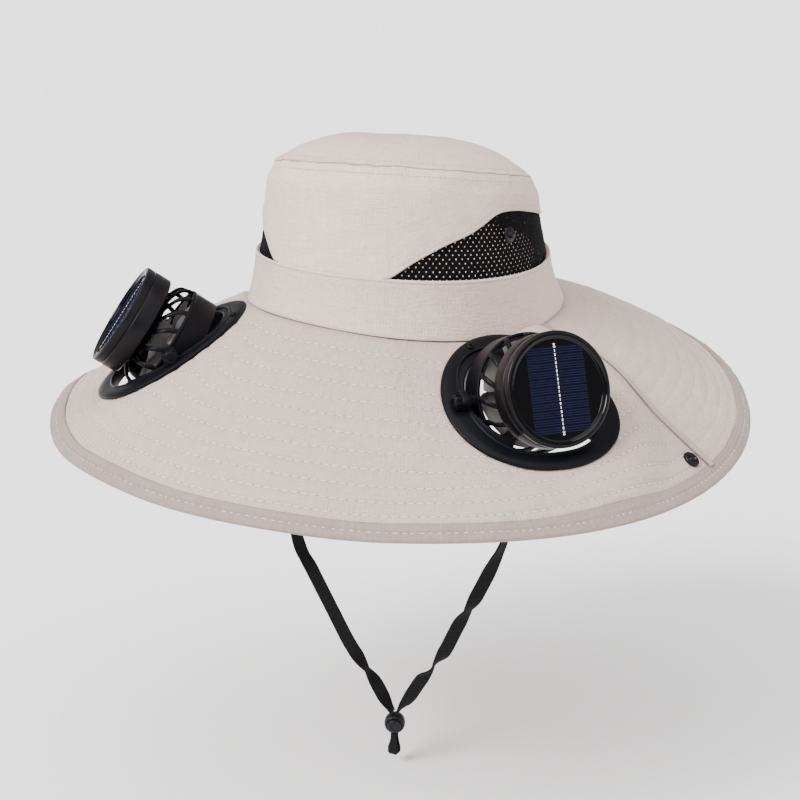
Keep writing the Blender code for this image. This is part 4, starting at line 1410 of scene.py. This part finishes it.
def fit_flange(item):
    """Rows were raised with radius 1 + share; lay each share between hole and rim."""
    for vertex in item.data.vertices:
        angle = atan2(vertex.co.y, vertex.co.x)
        share = hypot(vertex.co.x, vertex.co.y) / MM - 1.0
        hole = oval(FLANGE_HOLE[0], FLANGE_HOLE[1], angle, FLANGE_SQUARENESS)
        rim = (FLANGE_RADIUS[0] * cos(angle),
               FLANGE_RADIUS[1] * (1.0 + FLANGE_EGG * cos(angle)) * sin(angle))
        vertex.co.x = (hole[0] + (rim[0] - hole[0]) * share) * MM
        vertex.co.y = (hole[1] + (rim[1] - hole[1]) * share) * MM


def build_socket():
    """Curved lip inside the flange that the fan's drum turns in, open on its lower side."""
    def reach(height, grown=0.0):
        return (SOCKET_RADIUS ** 2 - (PIVOT_HEIGHT - height) ** 2) ** 0.5 + grown

    section = (
        # radius, height
        (41.4, 0.7), (41.4, 2.0), (37.4, 2.4), (36.4, 2.9), (35.6, 2.6), (reach(0.5), 0.5),
        (reach(-3.0), -3.0), (reach(-7.0), -7.0), (reach(-11.0), -11.0),
        (reach(-11.0, 1.3), -11.6), (reach(-7.0, 1.4), -7.4), (reach(-3.0, 1.4), -3.2),
        (reach(0.0, 1.4), 0.0),
    )
    count = len(section)

    def place(u, v):
        angle = radians(SOCKET_OPENING + (360.0 - 2.0 * SOCKET_OPENING) * u)
        radius, height = section[round(v * count) % count]
        return Vector((radius * cos(angle), radius * sin(angle), height))

    socket = laid_grid("socket", 80, count, place, True)
    close_ends(socket)
    return socket


def knob_pieces(way):
    """Ear on the flange with its ribbed clamping knob."""
    middle = way * (FLANGE_HOLE[1] + 3.5)
    ear = block("ear", (0.0, middle, 1.4 + 4.3), (9.0, 6.4, 8.6))
    select_only(ear)
    bpy.ops.object.mode_set(mode="EDIT")
    bpy.ops.mesh.select_all(action="SELECT")
    bpy.ops.mesh.bevel(offset=1.8 * MM, segments=4, affect="EDGES")
    bpy.ops.object.mode_set(mode="OBJECT")
    knob = turned("knob", (
        (3.6, 0.0), (4.0, 0.5), (4.0, 2.6), (3.3, 3.3), (1.6, 3.4), (1.5, 2.7), (0.2, 2.7),
    ), 28)
    rib = block("rib", (4.0, 0.0, 1.6), (1.3, 1.1, 2.6))
    copies_round(rib, 11)
    joined(knob, [rib])
    spin = Matrix.Rotation(-way * pi * 0.5, 4, "X")
    seat = Matrix.Translation(Vector((0.0, way * (FLANGE_HOLE[1] + 6.4), PIVOT_HEIGHT)) * MM)
    settle(knob, seat @ spin)
    return [ear, knob]


def build_flange(side, row, satin):
    profile = (
        # 1 + share from hole to rim, height
        (2.0, 0.35), (2.015, 0.9), (2.0, 1.7), (1.9, 2.4), (1.6, 2.75), (1.24, 2.8), (1.14, 2.7),
        (1.1, 3.2), (1.02, 3.3), (1.0, 2.9), (1.0, -3.2), (1.09, -3.2), (1.09, 0.35), (1.5, 0.3),
    )
    flange = turned("flange_ring_" + side, profile, 96, True)
    fit_flange(flange)
    soften(flange, 0.22)
    screw = turned("screw", ((2.1, 2.4), (2.1, 3.4), (1.6, 3.9), (0.8, 4.0), (0.75, 3.4), (0.1, 3.4)), 20)
    way = -1.0 if side == "right" else 1.0
    settle(screw, Matrix.Translation(Vector((-41.2, way * 17.5, 0.0)) * MM))
    joined(flange, [build_socket(), screw] + knob_pieces(-1.0) + knob_pieces(1.0))
    fitted(flange, pod_matrix(row), 35.0, satin, "hat", ("flange_" + side,))


GUARD_CURVE = (
    # share, radius, along
    (0.0, 32.5, 1.8),
    (0.2, 32.3, 5.0),
    (0.4, 31.3, 8.4),
    (0.6, 29.0, 11.0),
    (0.8, 25.4, 13.0),
    (1.0, 21.0, 14.2),
)


def build_guard(side, row, satin):
    """Drum, ribs on a spiral and the middle plate with the motor behind it."""
    inner = DRUM_RADIUS - DRUM_WALL
    drum = turned("fan_drum_" + side, (
        (DRUM_RADIUS, -12.5), (DRUM_RADIUS, 0.6), (DRUM_RADIUS + 0.4, 1.0), (DRUM_RADIUS + 0.4, 2.1),
        (DRUM_RADIUS, 2.6), (inner + 0.2, 2.6), (inner, 2.1), (inner, -12.5),
    ), 96, True)
    soften(drum, 0.3)
    turn = 1.0 if side == "right" else -1.0
    width = radians(5.4)
    rib = started("rib", bpy.ops.mesh.primitive_grid_add, size=2.0,
                  x_subdivisions=4, y_subdivisions=16)
    for vertex in rib.data.vertices:
        share = (vertex.co.y + 1.0) * 0.5
        radius = table_value(GUARD_CURVE, share, 1)
        along = table_value(GUARD_CURVE, share, 2)
        sweep = radians(19.0) * share ** 1.5 * turn
        spread = width * (0.5 + 0.16 * share) * vertex.co.x
        angle = sweep + spread
        crown = 0.35 * (1.0 - vertex.co.x ** 2)
        radius += crown
        vertex.co = Vector((radius * cos(angle), radius * sin(angle), along + crown)) * MM
    thicken(rib, 1.6)
    soften(rib, 0.4, 50.0)
    copies_round(rib, RIB_COUNT)
    plate = turned("plate", (
        (21.6, 12.7), (22.2, 13.4), (21.6, 14.6), (18.0, 15.1), (8.6, 15.1), (8.0, 15.1), (0.2, 15.1),
    ), 72)
    motor = turned("motor", ((8.5, 10.8), (8.5, 14.0), (4.0, 14.0), (0.2, 14.0)), 40)
    pins = []
    for way in (-1.0, 1.0):
        pin = started("pin", bpy.ops.mesh.primitive_cylinder_add, vertices=24, radius=2.4 * MM,
                      depth=5.0 * MM)
        seat = Matrix.Translation((0.0, way * 34.2 * MM, 0.0))
        settle(pin, seat @ Matrix.Rotation(pi * 0.5, 4, "X"))
        pins.append(pin)
    joined(drum, [rib, plate, motor] + pins)
    fitted(drum, tilt_matrix(row), 38.0, satin, "module_" + side,
           ("fan_guard_" + side,))


def build_rotor(side, row, grey):
    hub = turned("fan_blades_" + side, (
        (8.4, -4.6), (9.2, -3.8), (9.2, 9.0), (8.4, 10.1), (6.0, 10.3), (0.2, 10.3),
    ), 48)
    turn = 1.0 if side == "right" else -1.0
    blade = started("blade", bpy.ops.mesh.primitive_grid_add, size=2.0,
                    x_subdivisions=10, y_subdivisions=16)
    for vertex in blade.data.vertices:
        share = (vertex.co.y + 1.0) * 0.5
        radius = 8.4 + 21.0 * share
        chord = table_value(BLADE_ROWS, radius, 1)
        pitch = radians(table_value(BLADE_ROWS, radius, 2))
        corner = 1.0 - 0.14 * smooth_step(0.86, 1.0, share)
        ahead = vertex.co.x * 0.5 * chord * corner
        camber = 0.9 * (1.0 - vertex.co.x ** 2)
        sweep = turn * (0.16 * (radius / 29.6) ** 2 + ahead * cos(pitch) / radius)
        spot = Vector((cos(sweep), sin(sweep), 0.0)) * radius
        spot.z = BLADE_HEIGHT + ahead * sin(pitch) + camber
        vertex.co = spot * MM
    thicken(blade, 1.1)
    soften(blade, 0.3, 50.0)
    copies_round(blade, ROTOR_BLADES, pi / ROTOR_BLADES)
    face_outward(blade)
    joined(hub, [blade])
    fitted(hub, tilt_matrix(row), 40.0, grey, "rotor_" + side, ("fan_rotor_" + side,))


def build_housing(side, row, shell, resin, gloss, cells, silver):
    """Round cup on its neck, the resin face with its rounded edge, and the cell strips."""
    place = tilt_matrix(row)
    body = "module_" + side
    cup = turned("solar_cup_" + side, (
        (0.2, 28.5), (PANEL_RADIUS + 0.3, 28.5), (PANEL_RADIUS + 0.3, HOUSING_FRONT - 0.4),
        (PANEL_RADIUS + 0.8, HOUSING_FRONT), (HOUSING_RADIUS - 0.6, HOUSING_FRONT),
        (HOUSING_RADIUS, HOUSING_FRONT - 0.6), (HOUSING_RADIUS, 27.4),
        (HOUSING_RADIUS - 0.45, 27.1), (HOUSING_RADIUS - 0.45, 26.5), (HOUSING_RADIUS, 26.2),
        (HOUSING_RADIUS, 17.2), (HOUSING_RADIUS - 0.7, HOUSING_BACK), (HOUSING_RADIUS - 1.6, HOUSING_BACK),
        (HOUSING_RADIUS - 1.6, 26.6), (10.5, 26.6), (8.0, 25.0), (8.0, 15.4), (0.2, 15.4),
    ), 96)
    soften(cup, 0.18)
    fitted(cup, place, 35.0, shell, body, ("solar_housing_" + side,))

    face = turned("solar_face_" + side, (
        (0.2, 28.8), (PANEL_RADIUS, 28.8), (PANEL_RADIUS, 29.3), (PANEL_RADIUS - 0.5, 29.9),
        (PANEL_RADIUS - 1.3, 30.35), (PANEL_RADIUS - 2.4, 30.65), (PANEL_RADIUS - 3.6, 30.8),
        (PANEL_RADIUS - 5.0, 30.85), (0.2, 30.85),
    ), 96)
    fitted(face, place, 50.0, resin, body, ("solar_panel_" + side,))
    lip = turned("resin_lip_" + side, (
        (26.3, 30.6), (26.5, 30.9), (27.0, 31.0), (27.5, 31.2), (27.95, 31.5), (28.3, 31.85),
        (28.5, 32.2), (28.75, 32.2), (28.75, 30.6),
    ), 96, True)
    fitted(lip, place, 50.0, gloss, body)

    strips = []
    height = 2.0 * CELL_HALF_LENGTH / CELL_ROWS
    for index in range(CELL_ROWS):
        strip = started("strip", bpy.ops.mesh.primitive_plane_add, size=1.0)
        middle = CELL_HALF_LENGTH - height * (index + 0.5)
        strip.data.transform(Matrix.Rotation(pi * 0.5, 4, "Z"))
        size = ((height - 0.4) * MM, 2.0 * CELL_HALF_WIDTH * MM, 1.0, 1.0)
        strip.data.transform(Matrix.Diagonal(size))
        strip.data.transform(Matrix.Translation(Vector((middle, 0.0, 30.9)) * MM))
        strips.append(strip)
    field = joined(strips[0], strips[1:])
    field.name = "solar_cells_" + side
    wall = field.modifiers.new("foil", "SOLIDIFY")
    wall.thickness = 0.06 * MM
    wall.offset = -1.0
    apply_all(field)
    settle(field, place)
    dress(field, cells, body)

    marks = []
    end = CELL_HALF_LENGTH + 0.6
    for index in range(CELL_ROWS * 2):
        middle = end - (index + 0.5) * 2.0 * end / (CELL_ROWS * 2)
        wide = 0.72 if index % 2 else 0.42
        marks.append(block("dash", (middle, 0.0, 30.94), (1.35, wide, 0.08)))
    for way in (-1.0, 1.0):
        for turn in (0.0, 0.7, -0.7):
            ray = block("ray", (0.0, 0.0, 30.94), (2.2, 0.3, 0.08))
            ray.data.transform(Matrix.Rotation(turn, 4, "Z"))
            out = way * (CELL_HALF_LENGTH + 0.2) * MM
            ray.data.transform(Matrix.Translation((out, 0.0, 0.0)))
            marks.append(ray)
    line = joined(marks[0], marks[1:])
    line.name = "cell_line_" + side
    settle(line, place)
    dress(line, silver, body)


def build_pods(settings):
    black = tuple(settings.plastic_colour)
    satin = plastic_material("satin black plastic", black, 0.38, 0.3, 0.0, 0.08)
    warm_black = (black[0] * 1.3, black[1] * 1.1, black[2])
    shell = plastic_material("black cup plastic", warm_black, 0.3, 0.2, 0.0, 0.12)
    grey = plastic_material("grey fan plastic", tuple(settings.fan_colour), 0.5, 0.3)
    resin = plastic_material("black resin face", (0.001, 0.001, 0.0014), 0.06, 0.0, 0.1, 0.0)
    gloss = plastic_material("glossy resin edge", (0.001, 0.001, 0.0014), 0.03, 0.0, 0.16, 0.1)
    cells = cell_material("cell strips", tuple(settings.cell_colour))
    silver = flat_material("silver line", (0.72, 0.72, 0.74), 0.45)
    for row in PODS:
        side = row[0]
        build_flange(side, row, satin)
        build_guard(side, row, satin)
        build_rotor(side, row, grey)
        build_housing(side, row, shell, resin, gloss, cells, silver)


# Snaps

def build_snaps(settings):
    black = plastic_material("black snap plastic", tuple(settings.plastic_colour), 0.28, 0.1, 0.0, 0.2)
    socket = ((5.0, 0.0), (5.0, 0.9), (4.6, 1.6), (3.9, 1.8), (3.2, 1.6), (2.9, 0.9), (2.3, 0.7),
              (1.6, 0.8), (1.3, 1.5), (0.9, 1.7), (0.2, 1.7))
    stud = ((4.6, 0.0), (4.6, 0.8), (4.0, 1.3), (2.2, 1.4), (1.9, 2.0), (2.2, 2.9), (1.8, 3.5), (0.2, 3.6))
    for side, way in (("left", -1.0), ("right", 1.0)):
        for name, node, profile, angle, place, surface, normal in (
            ("snap_socket_", "brim_snap_", socket, SNAP_ANGLE, SNAP_SHARE, brim_surface, brim_normal),
            ("snap_stud_", "crown_stud_", stud, STUD_ANGLE, STUD_HEIGHT, crown_surface, crown_normal),
        ):
            item = turned(name + side, profile, 40)
            soften(item, 0.12)
            up = normal(radians(angle * way), place)
            spot = surface(radians(angle * way), place) + up * 0.2
            seat = frame_matrix(spot, Vector((0.0, 0.0, 1.0)).cross(up), up)
            fitted(item, seat, 40.0, black, "hat", (node + side,))


# Chin strap

def smooth_route(rows, count):
    points = [Vector(row) for row in rows]
    points = [points[0] * 2.0 - points[1]] + points + [points[-1] * 2.0 - points[-2]]
    spans = len(rows) - 1
    result = []
    for step in range(count + 1):
        place = spans * step / count
        span = min(int(place), spans - 1)
        share = place - span
        a, b, c, d = points[span:span + 4]
        result.append(0.5 * (2.0 * b + (c - a) * share + (2.0 * a - 5.0 * b + 4.0 * c - d) * share ** 2
                             + (3.0 * b - 3.0 * c + d - a) * share ** 3))
    return result


def route_length(route):
    return sum((high - low).length for low, high in zip(route, route[1:]))


WEB_SECTION = (
    # across, up
    (-0.5, -0.2), (-0.47, -0.5), (-0.2, -0.42), (0.2, -0.42), (0.47, -0.5), (0.5, -0.2),
    (0.5, 0.2), (0.47, 0.5), (0.2, 0.42), (-0.2, 0.42), (-0.47, 0.5), (-0.5, 0.2),
)


def webbing(name, route, width, thickness, twist=None, widths=None):
    """Flat webbing with thick selvedges, lofted along its route on a grid with UVs."""
    sides = []
    for index, centre in enumerate(route):
        before = route[max(index - 1, 0)]
        after = route[min(index + 1, len(route) - 1)]
        along = (after - before).normalized()
        if twist:
            face = Vector((0.0, -1.0, 0.0))
            face = (face - along * face.dot(along)).normalized()
            across = along.cross(face)
            turn = Matrix.Rotation(radians(table_value(twist, -centre.z, 1)), 3, along)
            face = turn @ face
            across = turn @ across
        else:
            across = Vector((1.0, 0.0, 0.0))
            face = across.cross(along)
        sides.append((centre, across, face))
    steps = len(route) - 1
    count = len(WEB_SECTION)

    def place(u, v):
        centre, across, face = sides[round(u * steps)]
        out, up = WEB_SECTION[round(v * count) % count]
        spread = width * (table_value(widths, u, 1) if widths else 1.0)
        return centre + across * spread * out + face * thickness * up

    item = laid_grid(name, steps, count, place, True)
    close_ends(item)
    smooth(item, 50.0)
    return item


def tail_route():
    """Down behind the lock, round the fold and up again in front of it."""
    x, y, z = LOCK_CENTRE
    top = z - 7.5
    low = top - TAIL_LENGTH + TAIL_FOLD
    side = [(1.4 + 0.5 * share, top + 0.2 + (low - top - 0.2) * share) for share in even_steps(8)]
    rows = [(y - out, height) for out, height in side]
    for step in range(1, 10):
        angle = pi * step / 10
        rows.append((y - TAIL_FOLD * cos(angle), low - TAIL_FOLD * sin(angle)))
    rows += [(y + out, height) for out, height in reversed(side)]
    return [Vector((x, back, height)) for back, height in rows]


def build_strap(settings):
    colour = tuple(settings.web_colour)
    pieces = []
    for name, rows, twist in (
        ("strap_right", STRAP_ROUTE_RIGHT, STRAP_TWIST_RIGHT),
        ("strap_left", STRAP_ROUTE_LEFT, STRAP_TWIST_LEFT),
    ):
        route = smooth_route(rows, 220)
        length = route_length(route)
        title = name.replace("_", " ") + " webbing"
        material = webbing_material(title, colour, length * MM, 0.02, 0.0011)
        item = webbing(name + "_webbing", route, STRAP_WIDTH, STRAP_THICKNESS, twist)
        dress(item, material, "hat", ("chin_" + name,))
        pieces.append((item, route, length))
    material = webbing_material("tail webbing", colour, 0.034, 0.016, 0.0011)
    tail = webbing("strap_tail_webbing", tail_route(), TAIL_WIDTH, STRAP_THICKNESS, None, TAIL_WIDTHS)
    dress(tail, material, "hat", ("strap_tail",))
    body, button = build_lock(settings)
    for index, (item, route, length) in enumerate(pieces):
        path = [tuple(point * MM) for point in route]
        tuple(path[0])


def build_lock(settings):
    """Round cord lock with its spring button in front."""
    colour = scaled(tuple(settings.plastic_colour), 1.6)
    black = plastic_material("lock plastic", colour, 0.4, 0.3, 0.0, 0.2)
    facing = radians(LOCK_FACING)
    normal = Vector((sin(facing), -cos(facing), 0.0))
    seat = frame_matrix(Vector(LOCK_CENTRE), Vector((0.0, 0.0, 1.0)).cross(normal), normal)
    body = turned("cord_lock_barrel", (
        (3.4, -5.4), (5.2, -4.9), (6.3, -3.6), (6.8, -1.4), (6.8, 1.2), (6.4, 3.0), (5.6, 4.2),
        (5.0, 4.6), (4.8, 4.3), (4.8, -3.2), (0.2, -3.2),
    ), 48)
    soften(body, 0.15)
    fitted(body, seat, 40.0, black, "hat", ("lock_body",))
    button = turned("cord_lock_button", (
        (4.5, -0.6), (4.5, 5.4), (4.1, 6.2), (3.2, 6.7), (2.0, 6.9), (1.5, 6.5), (0.2, 6.4),
    ), 40)
    soften(button, 0.12)
    fitted(button, seat, 40.0, black, "button", ("lock_button",))
    return body, button


# Stage

def towards(azimuth, elevation):
    """The way from the hat to something seen at these angles in degrees."""
    turn = radians(azimuth)
    rise = radians(elevation)
    return Vector((sin(turn) * cos(rise), -cos(turn) * cos(rise), sin(rise)))


def eye_frame():
    azimuth = radians(CAMERA_AZIMUTH)
    roll = radians(CAMERA_ROLL)
    back = towards(CAMERA_AZIMUTH, CAMERA_ELEVATION)
    right = Vector((cos(azimuth), sin(azimuth), 0.0))
    up = back.cross(right)
    rolled_right = right * cos(roll) + up * sin(roll)
    rolled_up = up * cos(roll) - right * sin(roll)
    return back, rolled_right, rolled_up


def build_stage(settings):
    back, right, up = eye_frame()
    across, down = ((pixel - HALF_FRAME) / FOCAL_PIXELS for pixel in ORIGIN_PIXEL)
    away = Vector((across, -down, -1.0)).normalized() * CAMERA_DISTANCE
    eye = -(right * away.x + up * away.y + back * away.z)
    data = bpy.data.cameras.new("camera")
    data.lens = CAMERA_LENS
    data.sensor_width = 36.0
    camera = bpy.data.objects.new("camera", data)
    bpy.context.scene.collection.objects.link(camera)
    camera.matrix_world = axes_matrix(right, up, back, eye)
    bpy.context.scene.camera = camera

    floor = started("floor", bpy.ops.mesh.primitive_plane_add, size=120.0,
                    location=(0.0, 0.0, FLOOR_METRES))
    material, nodes, links, shader = new_material("pale floor", tuple(settings.floor_colour), 0.9)
    floor.data.materials.append(material)

    world = bpy.data.worlds.new("studio")
    world.use_nodes = True
    shade = world.node_tree.nodes["Background"]
    shade.inputs["Color"].default_value = (1.0, 1.0, 1.0, 1.0)
    shade.inputs["Strength"].default_value = settings.room_light
    bpy.context.scene.world = world
    for name, azimuth, elevation, spread, share in LIGHTS:
        lamp = bpy.data.lights.new(name, "SUN")
        lamp.angle = radians(spread)
        lamp.energy = settings.key_light * share
        light = bpy.data.objects.new(name, lamp)
        bpy.context.scene.collection.objects.link(light)
        light.rotation_euler = (-towards(azimuth, elevation)).to_track_quat("-Z", "Y").to_euler()


# Settings and operators

def colour_setting(name, description, default):
    return bpy.props.FloatVectorProperty(
        name=name, description=description, subtype="COLOR", size=3, min=0.0, max=1.0, default=default)


class FanHatCloth(bpy.types.PropertyGroup):
    cloth_colour: colour_setting(
        "Cloth colour", "Beige of the cotton", (0.49, 0.385, 0.34))
    thread_colour: colour_setting(
        "Stitch colour", "Pale thread of the topstitching", (0.70, 0.62, 0.575))
    thread: bpy.props.FloatProperty(
        name="Thread", description="Width of one thread of the weave", subtype="DISTANCE", unit="LENGTH",
        min=0.0003, max=0.002, default=0.0008)
    net_colour: colour_setting(
        "Net colour", "Black of the net's yarn", (0.004, 0.004, 0.0048))
    net_pitch: bpy.props.FloatProperty(
        name="Net pitch", description="Distance between two holes of the net", subtype="DISTANCE",
        unit="LENGTH", min=0.0015, max=0.006, default=0.00282)


class FanHatPods(bpy.types.PropertyGroup):
    plastic_colour: colour_setting(
        "Plastic colour", "Black of the flanges and cups", (0.0035, 0.0036, 0.005))
    fan_colour: colour_setting(
        "Fan colour", "Grey of the fan blades", (0.115, 0.107, 0.1))
    cell_colour: colour_setting(
        "Cell colour", "Blue of the solar cells", (0.0095, 0.0105, 0.025))


class FanHatStrap(bpy.types.PropertyGroup):
    web_colour: colour_setting(
        "Webbing colour", "Black of the chin strap", (0.0035, 0.0035, 0.004))
    plastic_colour: colour_setting(
        "Lock colour", "Black of the cord lock", (0.0035, 0.0036, 0.005))


class FanHatStage(bpy.types.PropertyGroup):
    floor_colour: colour_setting(
        "Floor colour", "Colour of the plain floor", (0.97, 0.97, 0.97))
    room_light: bpy.props.FloatProperty(
        name="Room light", description="Strength of the even white light of the room",
        min=0.0, max=5.0, default=0.45)
    key_light: bpy.props.FloatProperty(
        name="Key light", description="Strength of the main soft light", min=0.0, max=20.0, default=5.6)


class FANHAT_OT_crown(bpy.types.Operator):
    """Build the crown's top, wall and band with their stitching"""
    bl_idname = "fanhat.crown"
    bl_label = "Crown and Band"

    def execute(self, context):
        build_crown(context.scene.fanhat_cloth)
        return {"FINISHED"}


class FANHAT_OT_net(bpy.types.Operator):
    """Build the net panel round the crown"""
    bl_idname = "fanhat.net"
    bl_label = "Net Panel"

    def execute(self, context):
        build_net(context.scene.fanhat_cloth)
        return {"FINISHED"}


class FANHAT_OT_brim(bpy.types.Operator):
    """Build the brim's panels, bound edge and stitching"""
    bl_idname = "fanhat.brim"
    bl_label = "Brim and Hem"

    def execute(self, context):
        build_brim(context.scene.fanhat_cloth)
        return {"FINISHED"}


class FANHAT_OT_pods(bpy.types.Operator):
    """Build both fan pods with their flanges, fans and solar faces"""
    bl_idname = "fanhat.pods"
    bl_label = "Fan Pods"

    def execute(self, context):
        build_pods(context.scene.fanhat_pods)
        return {"FINISHED"}


class FANHAT_OT_snaps(bpy.types.Operator):
    """Build the snaps on the brim and the studs on the net"""
    bl_idname = "fanhat.snaps"
    bl_label = "Snaps and Studs"

    def execute(self, context):
        build_snaps(context.scene.fanhat_pods)
        return {"FINISHED"}


class FANHAT_OT_strap(bpy.types.Operator):
    """Build the chin strap, its tail and the cord lock"""
    bl_idname = "fanhat.strap"
    bl_label = "Chin Strap and Lock"

    def execute(self, context):
        build_strap(context.scene.fanhat_strap)
        return {"FINISHED"}


class FANHAT_OT_stage(bpy.types.Operator):
    """Set the camera, the lights and the floor"""
    bl_idname = "fanhat.stage"
    bl_label = "Stage"

    def execute(self, context):
        build_stage(context.scene.fanhat_stage)
        return {"FINISHED"}


class FANHAT_PT_panel(bpy.types.Panel):
    """Lists the hat's settings and the step that builds each group of pieces"""
    bl_idname = "FANHAT_PT_panel"
    bl_label = "Solar Fan Hat"
    bl_space_type = "VIEW_3D"
    bl_region_type = "UI"
    bl_category = "Fan Hat"

    def draw(self, context):
        for group, steps in PANEL_ROWS:
            box = self.layout.box()
            settings = getattr(context.scene, group)
            for key in settings.bl_rna.properties.keys():
                if key not in {"rna_type", "name"}:
                    box.prop(settings, key)
            for step in steps:
                box.operator(step)


PANEL_ROWS = (
    ("fanhat_stage", ("fanhat.stage",)),
    ("fanhat_strap", ("fanhat.strap",)),
    ("fanhat_cloth", ("fanhat.crown", "fanhat.net", "fanhat.brim")),
    ("fanhat_pods", ("fanhat.pods", "fanhat.snaps")),
)
GROUPS = (
    ("fanhat_cloth", FanHatCloth),
    ("fanhat_pods", FanHatPods),
    ("fanhat_strap", FanHatStrap),
    ("fanhat_stage", FanHatStage),
)
CLASSES = (
    FanHatCloth, FanHatPods, FanHatStrap, FanHatStage,
    FANHAT_OT_crown, FANHAT_OT_net, FANHAT_OT_brim, FANHAT_OT_pods, FANHAT_OT_snaps,
    FANHAT_OT_strap, FANHAT_OT_stage, FANHAT_PT_panel,
)


def register():
    for item in CLASSES:
        bpy.utils.register_class(item)
    for name, group in GROUPS:
        setattr(bpy.types.Scene, name, bpy.props.PointerProperty(type=group))


def unregister():
    for name, group in GROUPS:
        delattr(bpy.types.Scene, name)
    for item in reversed(CLASSES):
        bpy.utils.unregister_class(item)


def main():
    register()
    for group, steps in PANEL_ROWS:
        for step in steps:
            family, action = step.split(".")
            getattr(getattr(bpy.ops, family), action)()


if __name__ == "__main__":
    main()
